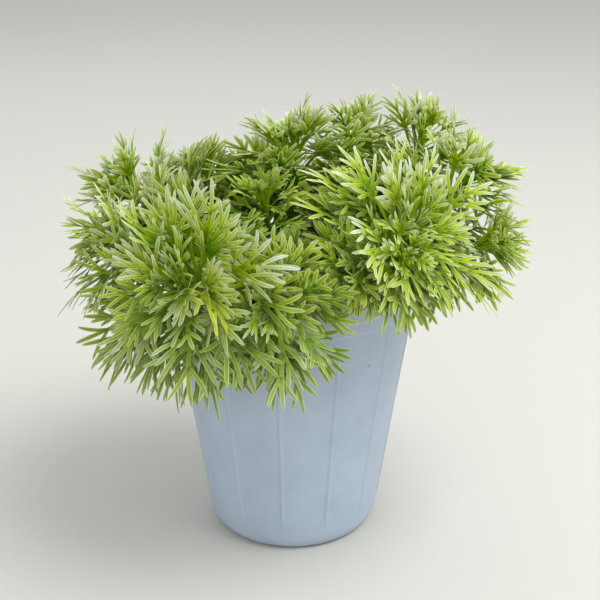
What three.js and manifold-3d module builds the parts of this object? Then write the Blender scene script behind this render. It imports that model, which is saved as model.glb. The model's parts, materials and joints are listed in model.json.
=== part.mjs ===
// Potted silver lace-leaved perennial, not in flower: a thin ribbed nursery pot, filled with soil that
// carries a dense mound of leafy shoots. Millimetres, +Z up, the origin at the middle of the pot's underside.
import * as THREE from 'three';
import { mergeVertices } from 'three/addons/utils/BufferGeometryUtils.js';
import Module from 'manifold-3d';

const wasm = await Module();
wasm.setup();

const DEGREE = Math.PI / 180;
const UP = new THREE.Vector3(0, 0, 1);
const BACK = new THREE.Vector3(0, 1, 0);
const NEARLY_ALIKE = 0.1;

// Pot: a tapered wall under a stepped rim band, standing on a foot ring and a middle pad
const POT_HEIGHT = 98;
const RIM_RADIUS = 45;
const RIM_WIDTH = 1.3;
const WALL_TAPER = 0.143;
const WALL_RADIUS_AT_BENCH = 30.5;
const WALL_THICKNESS = 0.9;
const BAND_FOOT = 87.8;
const BAND_STEP = 92.2;
const BAND_INSET = 0.9;
const LIP_FOOT = 96.4;
const LIP_INSET = 0.4;
const CHAMFER = 0.6;
const FLOOR_TOP = 2.2;
const FOOT_RECESS = 1.2;
const PAD_RADIUS = 8;
const FOOT_INNER_RADIUS = 22.7;
const FOOT_OUTER_RADIUS = 27.2;
const FLOOR_RADIUS = FOOT_OUTER_RADIUS + 1.2;
const FOOT_EDGE_HEIGHT = 5;
const FOOT_EDGE_STEP = 1.6;
const FOOT_EDGE_INSET = 0.4;
const DRAIN_HOLES = 6;
const DRAIN_RADIUS = 3.2;
const DRAIN_SIDES = 8;
const DRAIN_CIRCLE_RADIUS = 15.2;

// Ribs: upright welts on the wall, one of them a little left of the front
const RIBS = 13;
const RIB_TURN = -6 * DEGREE;
const RIB_HEIGHT = 0.5;
const RIB_WIDTH = 3;
const RIB_FOOT = 9;
const RIB_HEAD = 84;
const COLUMNS_PER_RIB = 4;

// Soil: fills the pot to a little under the rim
const SOIL_TOP = 88;
const SOIL_FLOOR_CLEARANCE = 0.35;
const SOIL_WALL_CLEARANCE = 0.55;
const SOIL_BUMP = 0.7;
const SOIL_BUMP_LENGTHS = [4.1, 3.7, 2.3];
const SOIL_RINGS = [0.85, 0.6, 0.35, 0];
const SOIL_SIDES = 20;

// Stems: each stands in a plain blind hole in the soil and ends in a rosette's heart. Rise and neck say how
// far it runs straight up and then straight along the rosette's axis, as shares of its reach
const STEM_RADIUS = 1.35;
const STEM_SIDES = 6;
const STEM_STEP = 10;
const STEM_RISE = 0.42;
const STEM_NECK = 0.36;
const HOLE_DEPTH = 14;
const HOLE_FLOOR_GAP = 0.7;
const HOLE_RADIUS = 2.2;
const HOLE_SIDES = 6;
const CROWN_SPREAD = 0.36;
const CROWN_SPACING = 5.2;
const CROWN_ROUNDS = 200;
const HEART_SIZE = 0.07;
const HEART_SIDES = 6;
const HEART_PROFILE = [[0, -2], [1, 0], [0, 2.8]];

// Leaves: set round each stem's end by the golden angle, the oldest lowest, longest and most spread
const GOLDEN_ANGLE = 137.508 * DEGREE;
const TURN_PER_SHOOT = 1.3;
const TURN_SCATTER = 0.5;
const BLADE_THICKNESS = 0.7;
const RIB_HALF_WIDTH = 0.75;
const ROOT_HALF_WIDTH = 0.55;
const FORK_TAPER = 0.04;
const OLD_RISE = 60 * DEGREE;
const YOUNG_RISE = 9 * DEGREE;
const OLD_BEND = 42 * DEGREE;
const YOUNG_BEND = 8 * DEGREE;
const OPENING_POWER = 0.9;
const SPACING_POWER = 1.2;
const OLD_SAG = 0.13;
const YOUNG_SHORTENING = 0.7;
const SHORTENING_POWER = 2.2;
const LENGTH_SCATTER = 0.14;
const CUP = 0.006;

// A flat blade is like a hand: its lobes leave one fork on the rib, joined there by a web. A form grows up
// to its age, on shoots whose leaves are at least from long. fork, web and the lobes' lengths are shares of
// the leaf; lobes gives one side's, as their slant and their length
const LEAF_FORMS = [
  { until: 0.55, from: 30, fork: 0.46, web: 0.13, end: 0.6, lobes: [[64, 0.32], [42, 0.43], [20, 0.51]] },
  { until: 0.8, from: 0, fork: 0.46, web: 0.14, end: 0, lobes: [[52, 0.37], [25, 0.5]] },
  { until: 1, from: 0, fork: 0.5, web: 0.15, end: 0, lobes: [[30, 0.44]] },
];

// Clearance between shoots: samples along each stem and lobe, each with a reach round it
const CLEARANCE = 0.7;
const OWN_CLEARANCE = -0.2;
const OWN_CROWDING = 0.4;
const RIM_MARGIN = 0.8;
const BLADE_REACH = 1.05;
const STEM_REACH = 1.35;
const HEART_REACH = 2.4;
const FIRST_SAMPLE = 2;
const SAMPLE_STEP = 2.1;
const CELL = 2 * HEART_REACH + CLEARANCE;
const LENGTHS_TRIED = [1, 0.86, 0.72];
const RISES_TRIED = [0, -8, 8, -16, 16, -26];
const TURNS_TRIED = [0, 9, -9, 18, -18, 28, -28, 40, -40];

// Shoots: where each rosette's heart is, which way it faces, its longest leaf, how far down its
// stem the leaves begin, and how many there are
const SHOOTS = [
  ['front_left', [-34, -47, 108], [-0.3, -0.8, 0.52], 42, 16, 15],
  ['front_right', [37.4, -30, 122.1], [0.2, -0.65, 0.7], 39, 19, 13],
  ['front_low', [-6, -54, 104.2], [-0.1, -0.88, 0.45], 29, 11, 11],
  ['left_low', [-59.1, -16, 114.9], [-0.85, -0.15, 0.5], 35, 18, 9],
  ['left', [-57.5, 14, 123], [-0.6, 0.2, 0.77], 35, 18, 9],
  ['right_low', [67.1, -12, 111.8], [0.8, -0.2, 0.55], 29, 17, 9],
  ['right', [60.8, 8, 127.8], [0.62, 0, 0.78], 33, 18, 9],
  ['back_right_tall', [49.4, 32, 140.2], [0.25, 0.3, 0.92], 27, 18, 9],
  ['back_right_inner', [24.3, 40, 137.9], [0, 0.3, 0.95], 27, 18, 8],
  ['back_centre', [0.3, 30, 134], [-0.05, 0.1, 1], 34, 18, 9],
  ['back_left', [-34.4, 36, 124.6], [-0.35, 0.4, 0.85], 24, 18, 9],
  ['centre', [-10.2, -5, 125.5], [-0.1, -0.2, 0.97], 23, 18, 8],
  ['front_inner', [0.2, -36, 111.6], [0, -0.6, 0.8], 18, 10, 6],
  ['front_right_inner', [21.6, -42, 112.8], [0.3, -0.8, 0.5], 23, 12, 7],
  ['front_right_low', [35, -46, 118], [0.3, -0.9, 0.3], 17, 8, 5],
  ['centre_small', [9.3, 2, 119.1], [0.1, -0.1, 0.98], 14, 10, 5],
  ['left_inner', [-24, -22, 113], [-0.2, -0.3, 0.93], 22, 12, 6],
  ['left_middle', [-36, 8, 119], [-0.3, 0, 0.95], 24, 14, 5],
  ['right_inner', [34, 3, 122], [0.2, -0.1, 0.97], 24, 14, 5],
  ['rear_left', [-46, 48, 114], [-0.6, 0.6, 0.55], 28, 18, 7],
  ['rear_middle', [-10, 60, 116], [-0.1, 0.85, 0.55], 28, 18, 7],
  ['rear_right', [33, 60, 118], [0.35, 0.75, 0.55], 28, 18, 7],
].map(([place, heart, axis, leaf, leafy, leaves]) => ({
  name: `shoot_${place}`,
  heart: new THREE.Vector3(...heart),
  axis: new THREE.Vector3(...axis).normalize(),
  leaf,
  leafy,
  leaves,
}));

// Finishes
const potPlastic = new THREE.MeshStandardMaterial({ color: '#bccbdb', roughness: 0.45, metalness: 0 });
const soilEarth = new THREE.MeshStandardMaterial({ color: '#3a2b20', roughness: 0.95, metalness: 0 });
const silverLeaf = new THREE.MeshStandardMaterial({ color: '#9fb552', roughness: 0.7, metalness: 0 });

// A number from 0 to 1 that two whole numbers always give alike
function draw(first, second) {
  const wave = Math.sin(first * 12.9898 + second * 78.233) * 43758.5453;
  return wave - Math.floor(wave);
}

// Joining and cutting closed solids

function signedVolume(geometry) {
  const corner = [new THREE.Vector3(), new THREE.Vector3(), new THREE.Vector3()];
  const position = geometry.getAttribute('position');
  let volume = 0;
  for (let i = 0; i < geometry.index.count; i += 3) {
    corner.forEach((point, j) => point.fromBufferAttribute(position, geometry.index.getX(i + j)));
    volume += corner[0].dot(corner[1].cross(corner[2])) / 6;
  }
  return volume;
}

function toSolid(source) {
  const bare = source.clone();
  bare.deleteAttribute('normal');
  bare.deleteAttribute('uv');
  const merged = mergeVertices(bare, 1e-4);
  const triVerts = new Uint32Array(merged.index.array);
  if (signedVolume(merged) < 0) {
    for (let i = 0; i < triVerts.length; i += 3) {
      [triVerts[i], triVerts[i + 1]] = [triVerts[i + 1], triVerts[i]];
    }
  }
  const used = [];
  for (let i = 0; i < triVerts.length; i += 3) {
    const [a, b, c] = triVerts.slice(i, i + 3);
    if (a !== b && b !== c && c !== a) used.push(a, b, c);
  }
  const vertProperties = new Float32Array(merged.getAttribute('position').array);
  return new wasm.Manifold(new wasm.Mesh({ numProp: 3, vertProperties, triVerts: new Uint32Array(used) }));
}

function toMesh(name, solid, material) {
  const { vertProperties, triVerts, numProp } = solid.getMesh();
  const positions = new Float32Array((vertProperties.length / numProp) * 3);
  for (let i = 0; i < positions.length / 3; i += 1) {
    for (let j = 0; j < 3; j += 1) positions[3 * i + j] = vertProperties[numProp * i + j];
  }
  const geometry = new THREE.BufferGeometry();
  geometry.setAttribute('position', new THREE.BufferAttribute(positions, 3));
  geometry.setIndex(new THREE.BufferAttribute(new Uint32Array(triVerts), 1));
  geometry.computeVertexNormals();
  const mesh = new THREE.Mesh(geometry, material);
  mesh.name = name;
  return mesh;
}

function uprightPeg(radius, sides, foot, head, x, y) {
  const peg = new THREE.CylinderGeometry(radius, radius, head - foot, sides);
  peg.rotateX(Math.PI / 2);
  peg.translate(x, y, (foot + head) / 2);
  return toSolid(peg);
}

// Pot

function wallRadius(z) {
  return WALL_RADIUS_AT_BENCH + WALL_TAPER * z;
}

function boreRadius(z) {
  const foot = wallRadius(FOOT_EDGE_HEIGHT) - WALL_THICKNESS;
  const share = (z - FOOT_EDGE_HEIGHT) / (POT_HEIGHT - FOOT_EDGE_HEIGHT);
  return THREE.MathUtils.lerp(foot, RIM_RADIUS - RIM_WIDTH, share);
}

function potProfile() {
  const points = [
    [0, 0],
    [PAD_RADIUS, 0],
    [PAD_RADIUS + FOOT_RECESS, FOOT_RECESS],
    [FOOT_INNER_RADIUS - FOOT_RECESS, FOOT_RECESS],
    [FOOT_INNER_RADIUS, 0],
    [FOOT_OUTER_RADIUS, 0],
    [wallRadius(0) - FOOT_EDGE_INSET, FOOT_EDGE_STEP],
    [wallRadius(FOOT_EDGE_HEIGHT), FOOT_EDGE_HEIGHT],
    [wallRadius(RIB_FOOT), RIB_FOOT],
    [wallRadius(RIB_HEAD), RIB_HEAD],
    [wallRadius(BAND_FOOT), BAND_FOOT],
    [wallRadius(BAND_FOOT) + CHAMFER, BAND_FOOT + CHAMFER],
    [RIM_RADIUS - BAND_INSET, BAND_STEP],
    [RIM_RADIUS - LIP_INSET, BAND_STEP + CHAMFER],
    [RIM_RADIUS, LIP_FOOT],
    [RIM_RADIUS, POT_HEIGHT],
    [RIM_RADIUS - RIM_WIDTH, POT_HEIGHT],
    [boreRadius(FOOT_EDGE_HEIGHT), FOOT_EDGE_HEIGHT],
    [FLOOR_RADIUS, FLOOR_TOP],
    [0, FLOOR_TOP],
  ];
  return points.map(([radius, height]) => new THREE.Vector2(radius, height));
}

// The lathe's even columns are moved to each rib's foot, crest and foot and to the middle of the bay
// beside it, and the crest is raised
function ribColumn(column) {
  const pitch = (2 * Math.PI) / RIBS;
  const foot = RIB_WIDTH / 2 / wallRadius(POT_HEIGHT / 2);
  const step = column % COLUMNS_PER_RIB;
  const offset = [-foot, 0, foot, pitch / 2][step];
  return { angle: RIB_TURN + Math.floor(column / COLUMNS_PER_RIB) * pitch + offset, raised: step === 1 };
}

function isOnRib(radius, height) {
  const besideRib = height > RIB_FOOT - NEARLY_ALIKE && height < RIB_HEAD + NEARLY_ALIKE;
  return besideRib && radius > wallRadius(height) - NEARLY_ALIKE;
}

function makePot() {
  const columns = RIBS * COLUMNS_PER_RIB;
  const lathe = new THREE.LatheGeometry(potProfile(), columns);
  const position = lathe.getAttribute('position');
  for (let i = 0; i < position.count; i += 1) {
    const height = position.getY(i);
    const around = Math.atan2(position.getX(i), position.getZ(i));
    const column = (Math.round((around / (2 * Math.PI)) * columns) + columns) % columns;
    const { angle, raised } = ribColumn(column);
    let radius = Math.hypot(position.getX(i), position.getZ(i));
    if (raised && isOnRib(radius, height)) radius += RIB_HEIGHT;
    position.setXYZ(i, radius * Math.sin(angle), -radius * Math.cos(angle), height);
  }
  let pot = toSolid(lathe);
  for (let i = 0; i < DRAIN_HOLES; i += 1) {
    const angle = (i * 2 * Math.PI) / DRAIN_HOLES;
    const x = DRAIN_CIRCLE_RADIUS * Math.cos(angle);
    const y = DRAIN_CIRCLE_RADIUS * Math.sin(angle);
    pot = pot.subtract(uprightPeg(DRAIN_RADIUS, DRAIN_SIDES, -FLOOR_TOP, 2 * FLOOR_TOP, x, y));
  }
  return toMesh('pot', pot, potPlastic);
}

// Soil

function soilHeight(x, y) {
  const [long, middle, short] = SOIL_BUMP_LENGTHS;
  const swell = Math.sin(x / long + 1) * Math.cos(y / middle);
  return SOIL_TOP + SOIL_BUMP * (swell + Math.sin((x + y) / short) / 2);
}

function makeSoil(bases) {
  const floor = FLOOR_TOP + SOIL_FLOOR_CLEARANCE;
  const shoulder = FOOT_EDGE_HEIGHT + 1;
  const edge = boreRadius(SOIL_TOP) - SOIL_WALL_CLEARANCE;
  const rings = [
    [0, floor],
    [FLOOR_RADIUS - SOIL_WALL_CLEARANCE, floor],
    [boreRadius(shoulder) - SOIL_WALL_CLEARANCE, shoulder],
    [edge, SOIL_TOP],
    ...SOIL_RINGS.map((share) => [share * edge, SOIL_TOP]),
  ];
  const lathe = new THREE.LatheGeometry(rings.map(([r, z]) => new THREE.Vector2(r, z)), SOIL_SIDES);
  lathe.rotateX(Math.PI / 2);
  const position = lathe.getAttribute('position');
  for (let i = 0; i < position.count; i += 1) {
    const x = position.getX(i);
    const y = position.getY(i);
    const onTop = position.getZ(i) > SOIL_TOP - NEARLY_ALIKE && Math.hypot(x, y) < edge - NEARLY_ALIKE;
    if (onTop) position.setZ(i, soilHeight(x, y));
  }
  let soil = toSolid(lathe);
  for (const { x, y } of bases) {
    const hole = uprightPeg(HOLE_RADIUS, HOLE_SIDES, SOIL_TOP - HOLE_DEPTH, SOIL_TOP + HOLE_DEPTH, x, y);
    soil = soil.subtract(hole);
  }
  return toMesh('soil', soil, soilEarth);
}

// Stems

// Each base lies towards its rosette, and bases that are too near are pushed apart
function crownBases() {
  const bases = SHOOTS.map(({ heart }) => new THREE.Vector2(heart.x, heart.y).multiplyScalar(CROWN_SPREAD));
  for (let round = 0; round < CROWN_ROUNDS; round += 1) {
    bases.forEach((base, i) => {
      bases.slice(i + 1).forEach((other) => {
        const apart = other.clone().sub(base);
        const lack = CROWN_SPACING - apart.length();
        if (lack > 0) {
          apart.setLength(lack / 2);
          base.sub(apart);
          other.add(apart);
        }
      });
    });
  }
  return bases;
}

// Upright out of the soil, clear of the rim, and then along the rosette's axis to its heart
function stemCurve(base, { heart, axis }) {
  const root = new THREE.Vector3(base.x, base.y, SOIL_TOP);
  const reach = heart.distanceTo(root);
  const rise = root.clone().addScaledVector(UP, STEM_RISE * reach);
  const neck = heart.clone().addScaledVector(axis, -STEM_NECK * reach);
  return new THREE.CubicBezierCurve3(root, rise, neck, heart);
}

function makeStem(curve) {
  const section = new THREE.Shape(
    Array.from({ length: STEM_SIDES }, (unused, i) => {
      const angle = (i * 2 * Math.PI) / STEM_SIDES;
      return new THREE.Vector2(STEM_RADIUS * Math.cos(angle), STEM_RADIUS * Math.sin(angle));
    }),
  );
  const root = curve.v0;
  const path = new THREE.CurvePath();
  const buried = HOLE_DEPTH - HOLE_FLOOR_GAP;
  path.add(new THREE.LineCurve3(root.clone().addScaledVector(UP, -buried), root));
  path.add(curve);
  const steps = Math.round((buried + curve.getLength()) / STEM_STEP);
  return toSolid(new THREE.ExtrudeGeometry(section, { steps, bevelEnabled: false, extrudePath: path }));
}

function makeHeart({ heart, axis, leaf }) {
  const profile = HEART_PROFILE.map(([r, z]) => new THREE.Vector2(r, z).multiplyScalar(HEART_SIZE * leaf));
  const bud = new THREE.LatheGeometry(profile, HEART_SIDES);
  bud.applyQuaternion(new THREE.Quaternion().setFromUnitVectors(BACK, axis));
  bud.translate(heart.x, heart.y, heart.z);
  return toSolid(bud);
}

// Leaves

// One leaf's place and form; age runs from 0, the oldest, to 1, the youngest
function leafRule(shoot, curve, number, change) {
  const shootNumber = SHOOTS.indexOf(shoot);
  const age = (number + 0.5) / (shoot.leaves + 1);
  const scatter = TURN_SCATTER * (draw(shootNumber, number) - 0.5);
  const turn = number * GOLDEN_ANGLE + shootNumber * TURN_PER_SHOOT + scatter + change.turn;
  const share = 1 - (shoot.leafy * (1 - age) ** SPACING_POWER) / curve.getLength();
  const axis = curve.getTangentAt(share);
  const side = new THREE.Vector3().crossVectors(axis, Math.abs(axis.z) < 0.9 ? UP : BACK);
  side.normalize().applyAxisAngle(axis, turn);
  const closed = age ** OPENING_POWER;
  const youth = 1 - YOUNG_SHORTENING * age ** SHORTENING_POWER;
  const luck = 1 + LENGTH_SCATTER * (draw(number, shootNumber) - 0.5);
  return {
    root: curve.getPointAt(share),
    axis,
    side,
    out: new THREE.Vector3().crossVectors(side, axis),
    length: shoot.leaf * youth * luck * change.length,
    rise: THREE.MathUtils.lerp(OLD_RISE, YOUNG_RISE, closed) + change.rise,
    bend: THREE.MathUtils.lerp(OLD_BEND, YOUNG_BEND, closed),
    sag: OLD_SAG * (1 - age),
    form: LEAF_FORMS.find(({ until, from }) => age < until && shoot.leaf >= from),
  };
}

// Where a point of the flat blade goes: along the leaf, across it, and off its face
function bendPoint(leaf, along, across, off) {
  const angle = leaf.rise + (leaf.bend * along) / leaf.length;
  const scale = leaf.length / leaf.bend;
  const outward = scale * (Math.cos(leaf.rise) - Math.cos(angle));
  const upward = scale * (Math.sin(angle) - Math.sin(leaf.rise));
  const lift = off + CUP * across * across;
  const point = leaf.root.clone();
  point.addScaledVector(leaf.side, across);
  point.addScaledVector(leaf.out, outward - lift * Math.cos(angle));
  point.addScaledVector(leaf.axis, upward + lift * Math.sin(angle));
  point.z -= leaf.sag * leaf.length * (along / leaf.length) ** 2;
  return point;
}

function fromFork(leaf, slant, share) {
  const angle = slant * DEGREE;
  const along = leaf.form.fork + share * Math.cos(angle);
  return new THREE.Vector2(along, share * Math.sin(angle)).multiplyScalar(leaf.length);
}

function bladeOutline(leaf) {
  const { fork, web, end, lobes } = leaf.form;
  const half = [
    new THREE.Vector2(0, ROOT_HALF_WIDTH),
    new THREE.Vector2((fork - FORK_TAPER) * leaf.length, RIB_HALF_WIDTH),
  ];
  lobes.forEach(([slant, length], i) => {
    const [nextSlant] = lobes[i + 1] ?? [0];
    half.push(fromFork(leaf, slant, length), fromFork(leaf, (slant + nextSlant) / 2, web));
  });
  if (end > 0) half.push(new THREE.Vector2(leaf.length, end));
  const mirrored = half.map((point) => new THREE.Vector2(point.x, -point.y)).reverse();
  const tip = end > 0 ? [] : [new THREE.Vector2(leaf.length, 0)];
  return new THREE.Shape([...half, ...tip, ...mirrored]);
}

function makeLeaf(leaf) {
  const settings = { depth: BLADE_THICKNESS, bevelEnabled: false };
  const blade = new THREE.ExtrudeGeometry(bladeOutline(leaf), settings);
  const position = blade.getAttribute('position');
  for (let i = 0; i < position.count; i += 1) {
    const off = position.getZ(i) - BLADE_THICKNESS / 2;
    position.setXYZ(i, ...bendPoint(leaf, position.getX(i), position.getY(i), off));
  }
  return toSolid(blade);
}

// Keeping the shoots clear of each other, of the pot and of the soil

const taken = new Map();

function cellKey(x, y, z) {
  return `${Math.floor(x / CELL)},${Math.floor(y / CELL)},${Math.floor(z / CELL)}`;
}

function take(samples, owner) {
  for (const sample of samples) {
    const key = cellKey(sample.point.x, sample.point.y, sample.point.z);
    if (!taken.has(key)) taken.set(key, []);
    taken.get(key).push({ ...sample, owner });
  }
}

// Leaves of one shoot may touch where they crowd round the stem
function touches(sample, other, owner) {
  const own = other.owner === owner;
  if (own && (sample.crowded || other.crowded)) return false;
  const clearance = sample.reach + other.reach + (own ? OWN_CLEARANCE : CLEARANCE);
  return other.point.distanceTo(sample.point) < clearance;
}

function nearAnother(sample, owner) {
  const { x, y, z } = sample.point;
  const around = [-CELL, 0, CELL];
  return around.some((dx) => around.some((dy) => around.some((dz) => {
    const cell = taken.get(cellKey(x + dx, y + dy, z + dz)) ?? [];
    return cell.some((other) => touches(sample, other, owner));
  })));
}

function nearPot({ point, reach }) {
  const fromAxis = Math.hypot(point.x, point.y);
  const margin = reach + CLEARANCE + RIM_MARGIN;
  const outside = wallRadius(point.z) + RIB_HEIGHT + margin;
  const besideWall = fromAxis > boreRadius(point.z) - margin && fromAxis < outside;
  const inSoil = point.z < SOIL_TOP + margin && fromAxis < RIM_RADIUS;
  return (point.z < POT_HEIGHT + margin && besideWall) || inSoil;
}

function leafSamples(leaf) {
  const samples = [];
  const walk = (fromAlong, toAlong, toAcross) => {
    const steps = Math.ceil(Math.hypot(toAlong - fromAlong, toAcross) / SAMPLE_STEP);
    for (let i = 0; i <= steps; i += 1) {
      const along = THREE.MathUtils.lerp(fromAlong, toAlong, i / steps);
      const across = (toAcross * i) / steps;
      const crowded = along < OWN_CROWDING * leaf.length;
      samples.push({ point: bendPoint(leaf, along, across, 0), reach: BLADE_REACH, crowded });
    }
  };
  walk(FIRST_SAMPLE, leaf.length, 0);
  for (const [slant, length] of leaf.form.lobes) {
    const tip = fromFork(leaf, slant, length);
    for (const hand of [-1, 1]) walk(leaf.form.fork * leaf.length, tip.x, hand * tip.y);
  }
  return samples;
}

function stemSamples(curve) {
  const points = curve.getSpacedPoints(Math.ceil(curve.getLength() / SAMPLE_STEP));
  const stem = points.map((point) => ({ point, reach: STEM_REACH, crowded: true }));
  return [...stem, { point: curve.v3, reach: HEART_REACH, crowded: true }];
}

// The first change of length, rise or turn that leaves a leaf clear; none if all of them touch
function clearLeaf(shoot, curve, number, owner) {
  for (const length of LENGTHS_TRIED) {
    for (const rise of RISES_TRIED) {
      for (const turn of TURNS_TRIED) {
        const leaf = leafRule(shoot, curve, number, { length, rise: rise * DEGREE, turn: turn * DEGREE });
        const samples = leafSamples(leaf);
        if (!samples.some((sample) => nearPot(sample) || nearAnother(sample, owner))) {
          take(samples, owner);
          return leaf;
        }
      }
    }
  }
  return null;
}

// The whole plant in its pot

const bases = crownBases();
const curves = SHOOTS.map((shoot, i) => stemCurve(bases[i], shoot));
curves.forEach((curve, owner) => take(stemSamples(curve), owner));

const shootLeaves = SHOOTS.map(() => []);
const mostLeaves = Math.max(...SHOOTS.map((shoot) => shoot.leaves));
for (let number = 0; number < mostLeaves; number += 1) {
  SHOOTS.forEach((shoot, owner) => {
    const leaf = number < shoot.leaves ? clearLeaf(shoot, curves[owner], number, owner) : null;
    if (leaf) shootLeaves[owner].push(leaf);
  });
}

const plant = new THREE.Group();
plant.add(makePot(), makeSoil(bases));
SHOOTS.forEach((shoot, owner) => {
  const pieces = [makeHeart(shoot), ...shootLeaves[owner].map(makeLeaf)];
  const solid = pieces.reduce((whole, piece) => whole.add(piece), makeStem(curves[owner]));
  plant.add(toMesh(shoot.name, solid, silverLeaf));
});

export default plant;
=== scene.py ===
# Potted silver lace-leaved perennial, not in flower: the looks of a dense mound of finely divided leaves
# in a thin ribbed nursery pot. Metres, +Z up, the pot's underside on the floor and its front towards -Y.
import json
import math
import random

import bpy
import numpy as np
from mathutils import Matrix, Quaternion, Vector

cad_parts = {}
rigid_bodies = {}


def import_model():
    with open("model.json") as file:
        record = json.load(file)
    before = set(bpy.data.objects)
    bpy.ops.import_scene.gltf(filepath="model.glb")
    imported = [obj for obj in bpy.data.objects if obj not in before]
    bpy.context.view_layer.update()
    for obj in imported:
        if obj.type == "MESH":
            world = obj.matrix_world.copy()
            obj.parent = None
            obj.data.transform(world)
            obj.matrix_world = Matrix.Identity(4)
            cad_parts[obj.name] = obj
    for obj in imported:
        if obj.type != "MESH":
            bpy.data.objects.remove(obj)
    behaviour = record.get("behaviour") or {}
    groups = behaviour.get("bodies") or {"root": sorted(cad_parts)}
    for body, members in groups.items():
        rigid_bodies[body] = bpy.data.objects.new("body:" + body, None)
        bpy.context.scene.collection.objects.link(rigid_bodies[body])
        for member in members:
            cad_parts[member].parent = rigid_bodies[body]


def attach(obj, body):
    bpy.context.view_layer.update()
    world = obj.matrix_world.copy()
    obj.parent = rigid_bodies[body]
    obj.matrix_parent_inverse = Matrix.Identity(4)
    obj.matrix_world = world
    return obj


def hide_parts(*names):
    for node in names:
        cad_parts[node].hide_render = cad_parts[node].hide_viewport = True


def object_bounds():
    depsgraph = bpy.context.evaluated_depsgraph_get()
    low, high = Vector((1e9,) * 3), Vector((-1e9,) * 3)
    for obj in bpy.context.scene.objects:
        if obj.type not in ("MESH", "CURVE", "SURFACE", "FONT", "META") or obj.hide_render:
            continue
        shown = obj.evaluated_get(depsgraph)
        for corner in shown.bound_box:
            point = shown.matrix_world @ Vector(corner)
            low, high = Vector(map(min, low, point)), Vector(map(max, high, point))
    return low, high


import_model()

CAD_LOW, CAD_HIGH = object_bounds()

MM = 0.001
UP = Vector((0, 0, 1))
BACK = Vector((0, 1, 0))
SEED = 7
# What makes the fraction of a sine wave look drawn by chance
SCATTER = (12.9898, 78.233, 43758.5453)

# Pot: a tapered wall under a stepped rim band, on a foot ring and a middle pad
POT_HEIGHT = 98 * MM
RIM_RADIUS = 45 * MM
RIM_WIDTH = 1.3 * MM
RIM_ROUNDING = 0.35 * MM
WALL_TAPER = 0.143
WALL_RADIUS_AT_BENCH = 30.5 * MM
WALL_THICKNESS = 0.9 * MM
BAND_FOOT = 87.8 * MM
BAND_STEP = 92.2 * MM
BAND_INSET = 0.9 * MM
LIP_FOOT = 96.4 * MM
LIP_INSET = 0.4 * MM
CHAMFER = 0.6 * MM
FLOOR_TOP = 2.2 * MM
FOOT_RECESS = 1.2 * MM
PAD_RADIUS = 8 * MM
FOOT_INNER_RADIUS = 22.7 * MM
FOOT_OUTER_RADIUS = 27.2 * MM
FLOOR_RADIUS = FOOT_OUTER_RADIUS + 1.2 * MM
FOOT_EDGE_HEIGHT = 5 * MM
FOOT_EDGE_BULGE = (0.5 * MM, 0.3 * MM)
FOOT_EDGE_STEPS = 7
FOOT_ROUNDING = 0.4 * MM
WALL_RINGS = 26
BORE_RINGS = 14
DRAIN_HOLES = 6
DRAIN_RADIUS = 3.2 * MM
DRAIN_CIRCLE_RADIUS = 15.2 * MM
DRAIN_COLUMNS = 40
RIBS = 13
RIB_TURN = math.radians(-6)
RIB_HEIGHT = 0.5 * MM
RIB_WIDTH = 2.2 * MM
RIB_FOOT = 9 * MM
RIB_HEAD = 84 * MM
RIB_FADE = 3 * MM
RIB_COLUMNS = range(-7, 8)
COLUMNS_PER_RIB_WIDTH = 10
COLUMNS_BETWEEN_RIBS = 12
WALL_WAVE = 0.12 * MM
CALM_HEIGHT = 20 * MM
CORNER_STEPS = 3
SIDE_OVER_CURVE = 2.2

# Soil: fills the pot to a little under the rim
SOIL_TOP = 88 * MM
SOIL_WALL_GAP = 0.3 * MM
SOIL_BUMP = 0.7 * MM
SOIL_BUMP_LENGTHS = (4.1 * MM, 3.7 * MM, 2.3 * MM)
SOIL_FINE_BUMP = 0.5 * MM
SOIL_FINE_LENGTHS = (0.9 * MM, 1.1 * MM)
SOIL_RINGS = 22
SOIL_COLUMNS = 96
CRUMBS = 260
PALE_GRAINS = 22
CRUMB_SIZE = 2.4 * MM
CRUMB_KINDS = 5
CRUMB_STRETCH = (0.6, 1.1)
CRUMB_DENTS = (0.78, 1.12)
CRUMB_TURNS = (6.3, 6.3, 6.3)

# Stems: each stands in the soil and ends in a rosette's heart
STEM_RADIUS = 1.2 * MM
STEM_TIP_RADIUS = 0.8 * MM
STEM_RISE = 0.42
STEM_NECK = 0.36
STEM_BURIED = 13 * MM
STEM_SAMPLES = 200
STEM_STEP = 0.005
STEM_PIECES = 24
STEM_SIDES = 10
CROWN_SPREAD = 0.36
CROWN_SPACING = 5.2 * MM
CROWN_ROUNDS = 200

# Leaves: set round each stem's end by the golden angle, the oldest lowest, longest and most spread
GOLDEN_ANGLE = math.radians(137.508)
TURN_PER_SHOOT = 1.3
TURN_SCATTER = 0.9
OLD_RISE = math.radians(60)
YOUNG_RISE = math.radians(9)
RISE_SCATTER = math.radians(26)
OLD_BEND = math.radians(42)
YOUNG_BEND = math.radians(8)
OPENING_POWER = 1.6
UPRIGHT_OPENING_POWER = 0.95
UPRIGHT_FROM = 0.75
SPACING_POWER = 1.2
OLD_SAG = 0.13
YOUNG_SHORTENING = 0.84
SHORTENING_POWER = 2.4
LENGTH_SCATTER = 0.34
CUP = 6
LOBE_HALF_WIDTH = 0.77 * MM
YOUNG_GIRTH = 0.68
UPRIGHT_GIRTH = 1.24
FULL_GIRTH_LENGTH = 28 * MM
SHORT_GIRTH_POWER = 0.6
SWAY = 0.14
TWIST = math.radians(30)
LEAVES_PER_CAD_LEAF = 3.3
LOW_LEAVES = 17
LOW_LEAVES_DOWN_TO = 0.5
LOW_LEAF_RISE = math.radians(58)
POT_CLEARANCE = 1.6 * MM
BOX_MARGIN = 1 * MM
RISES_TRIED = (0, -8, 8, -16, 16, -26, -36)
NEARLY_UPRIGHT = 0.9
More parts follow.
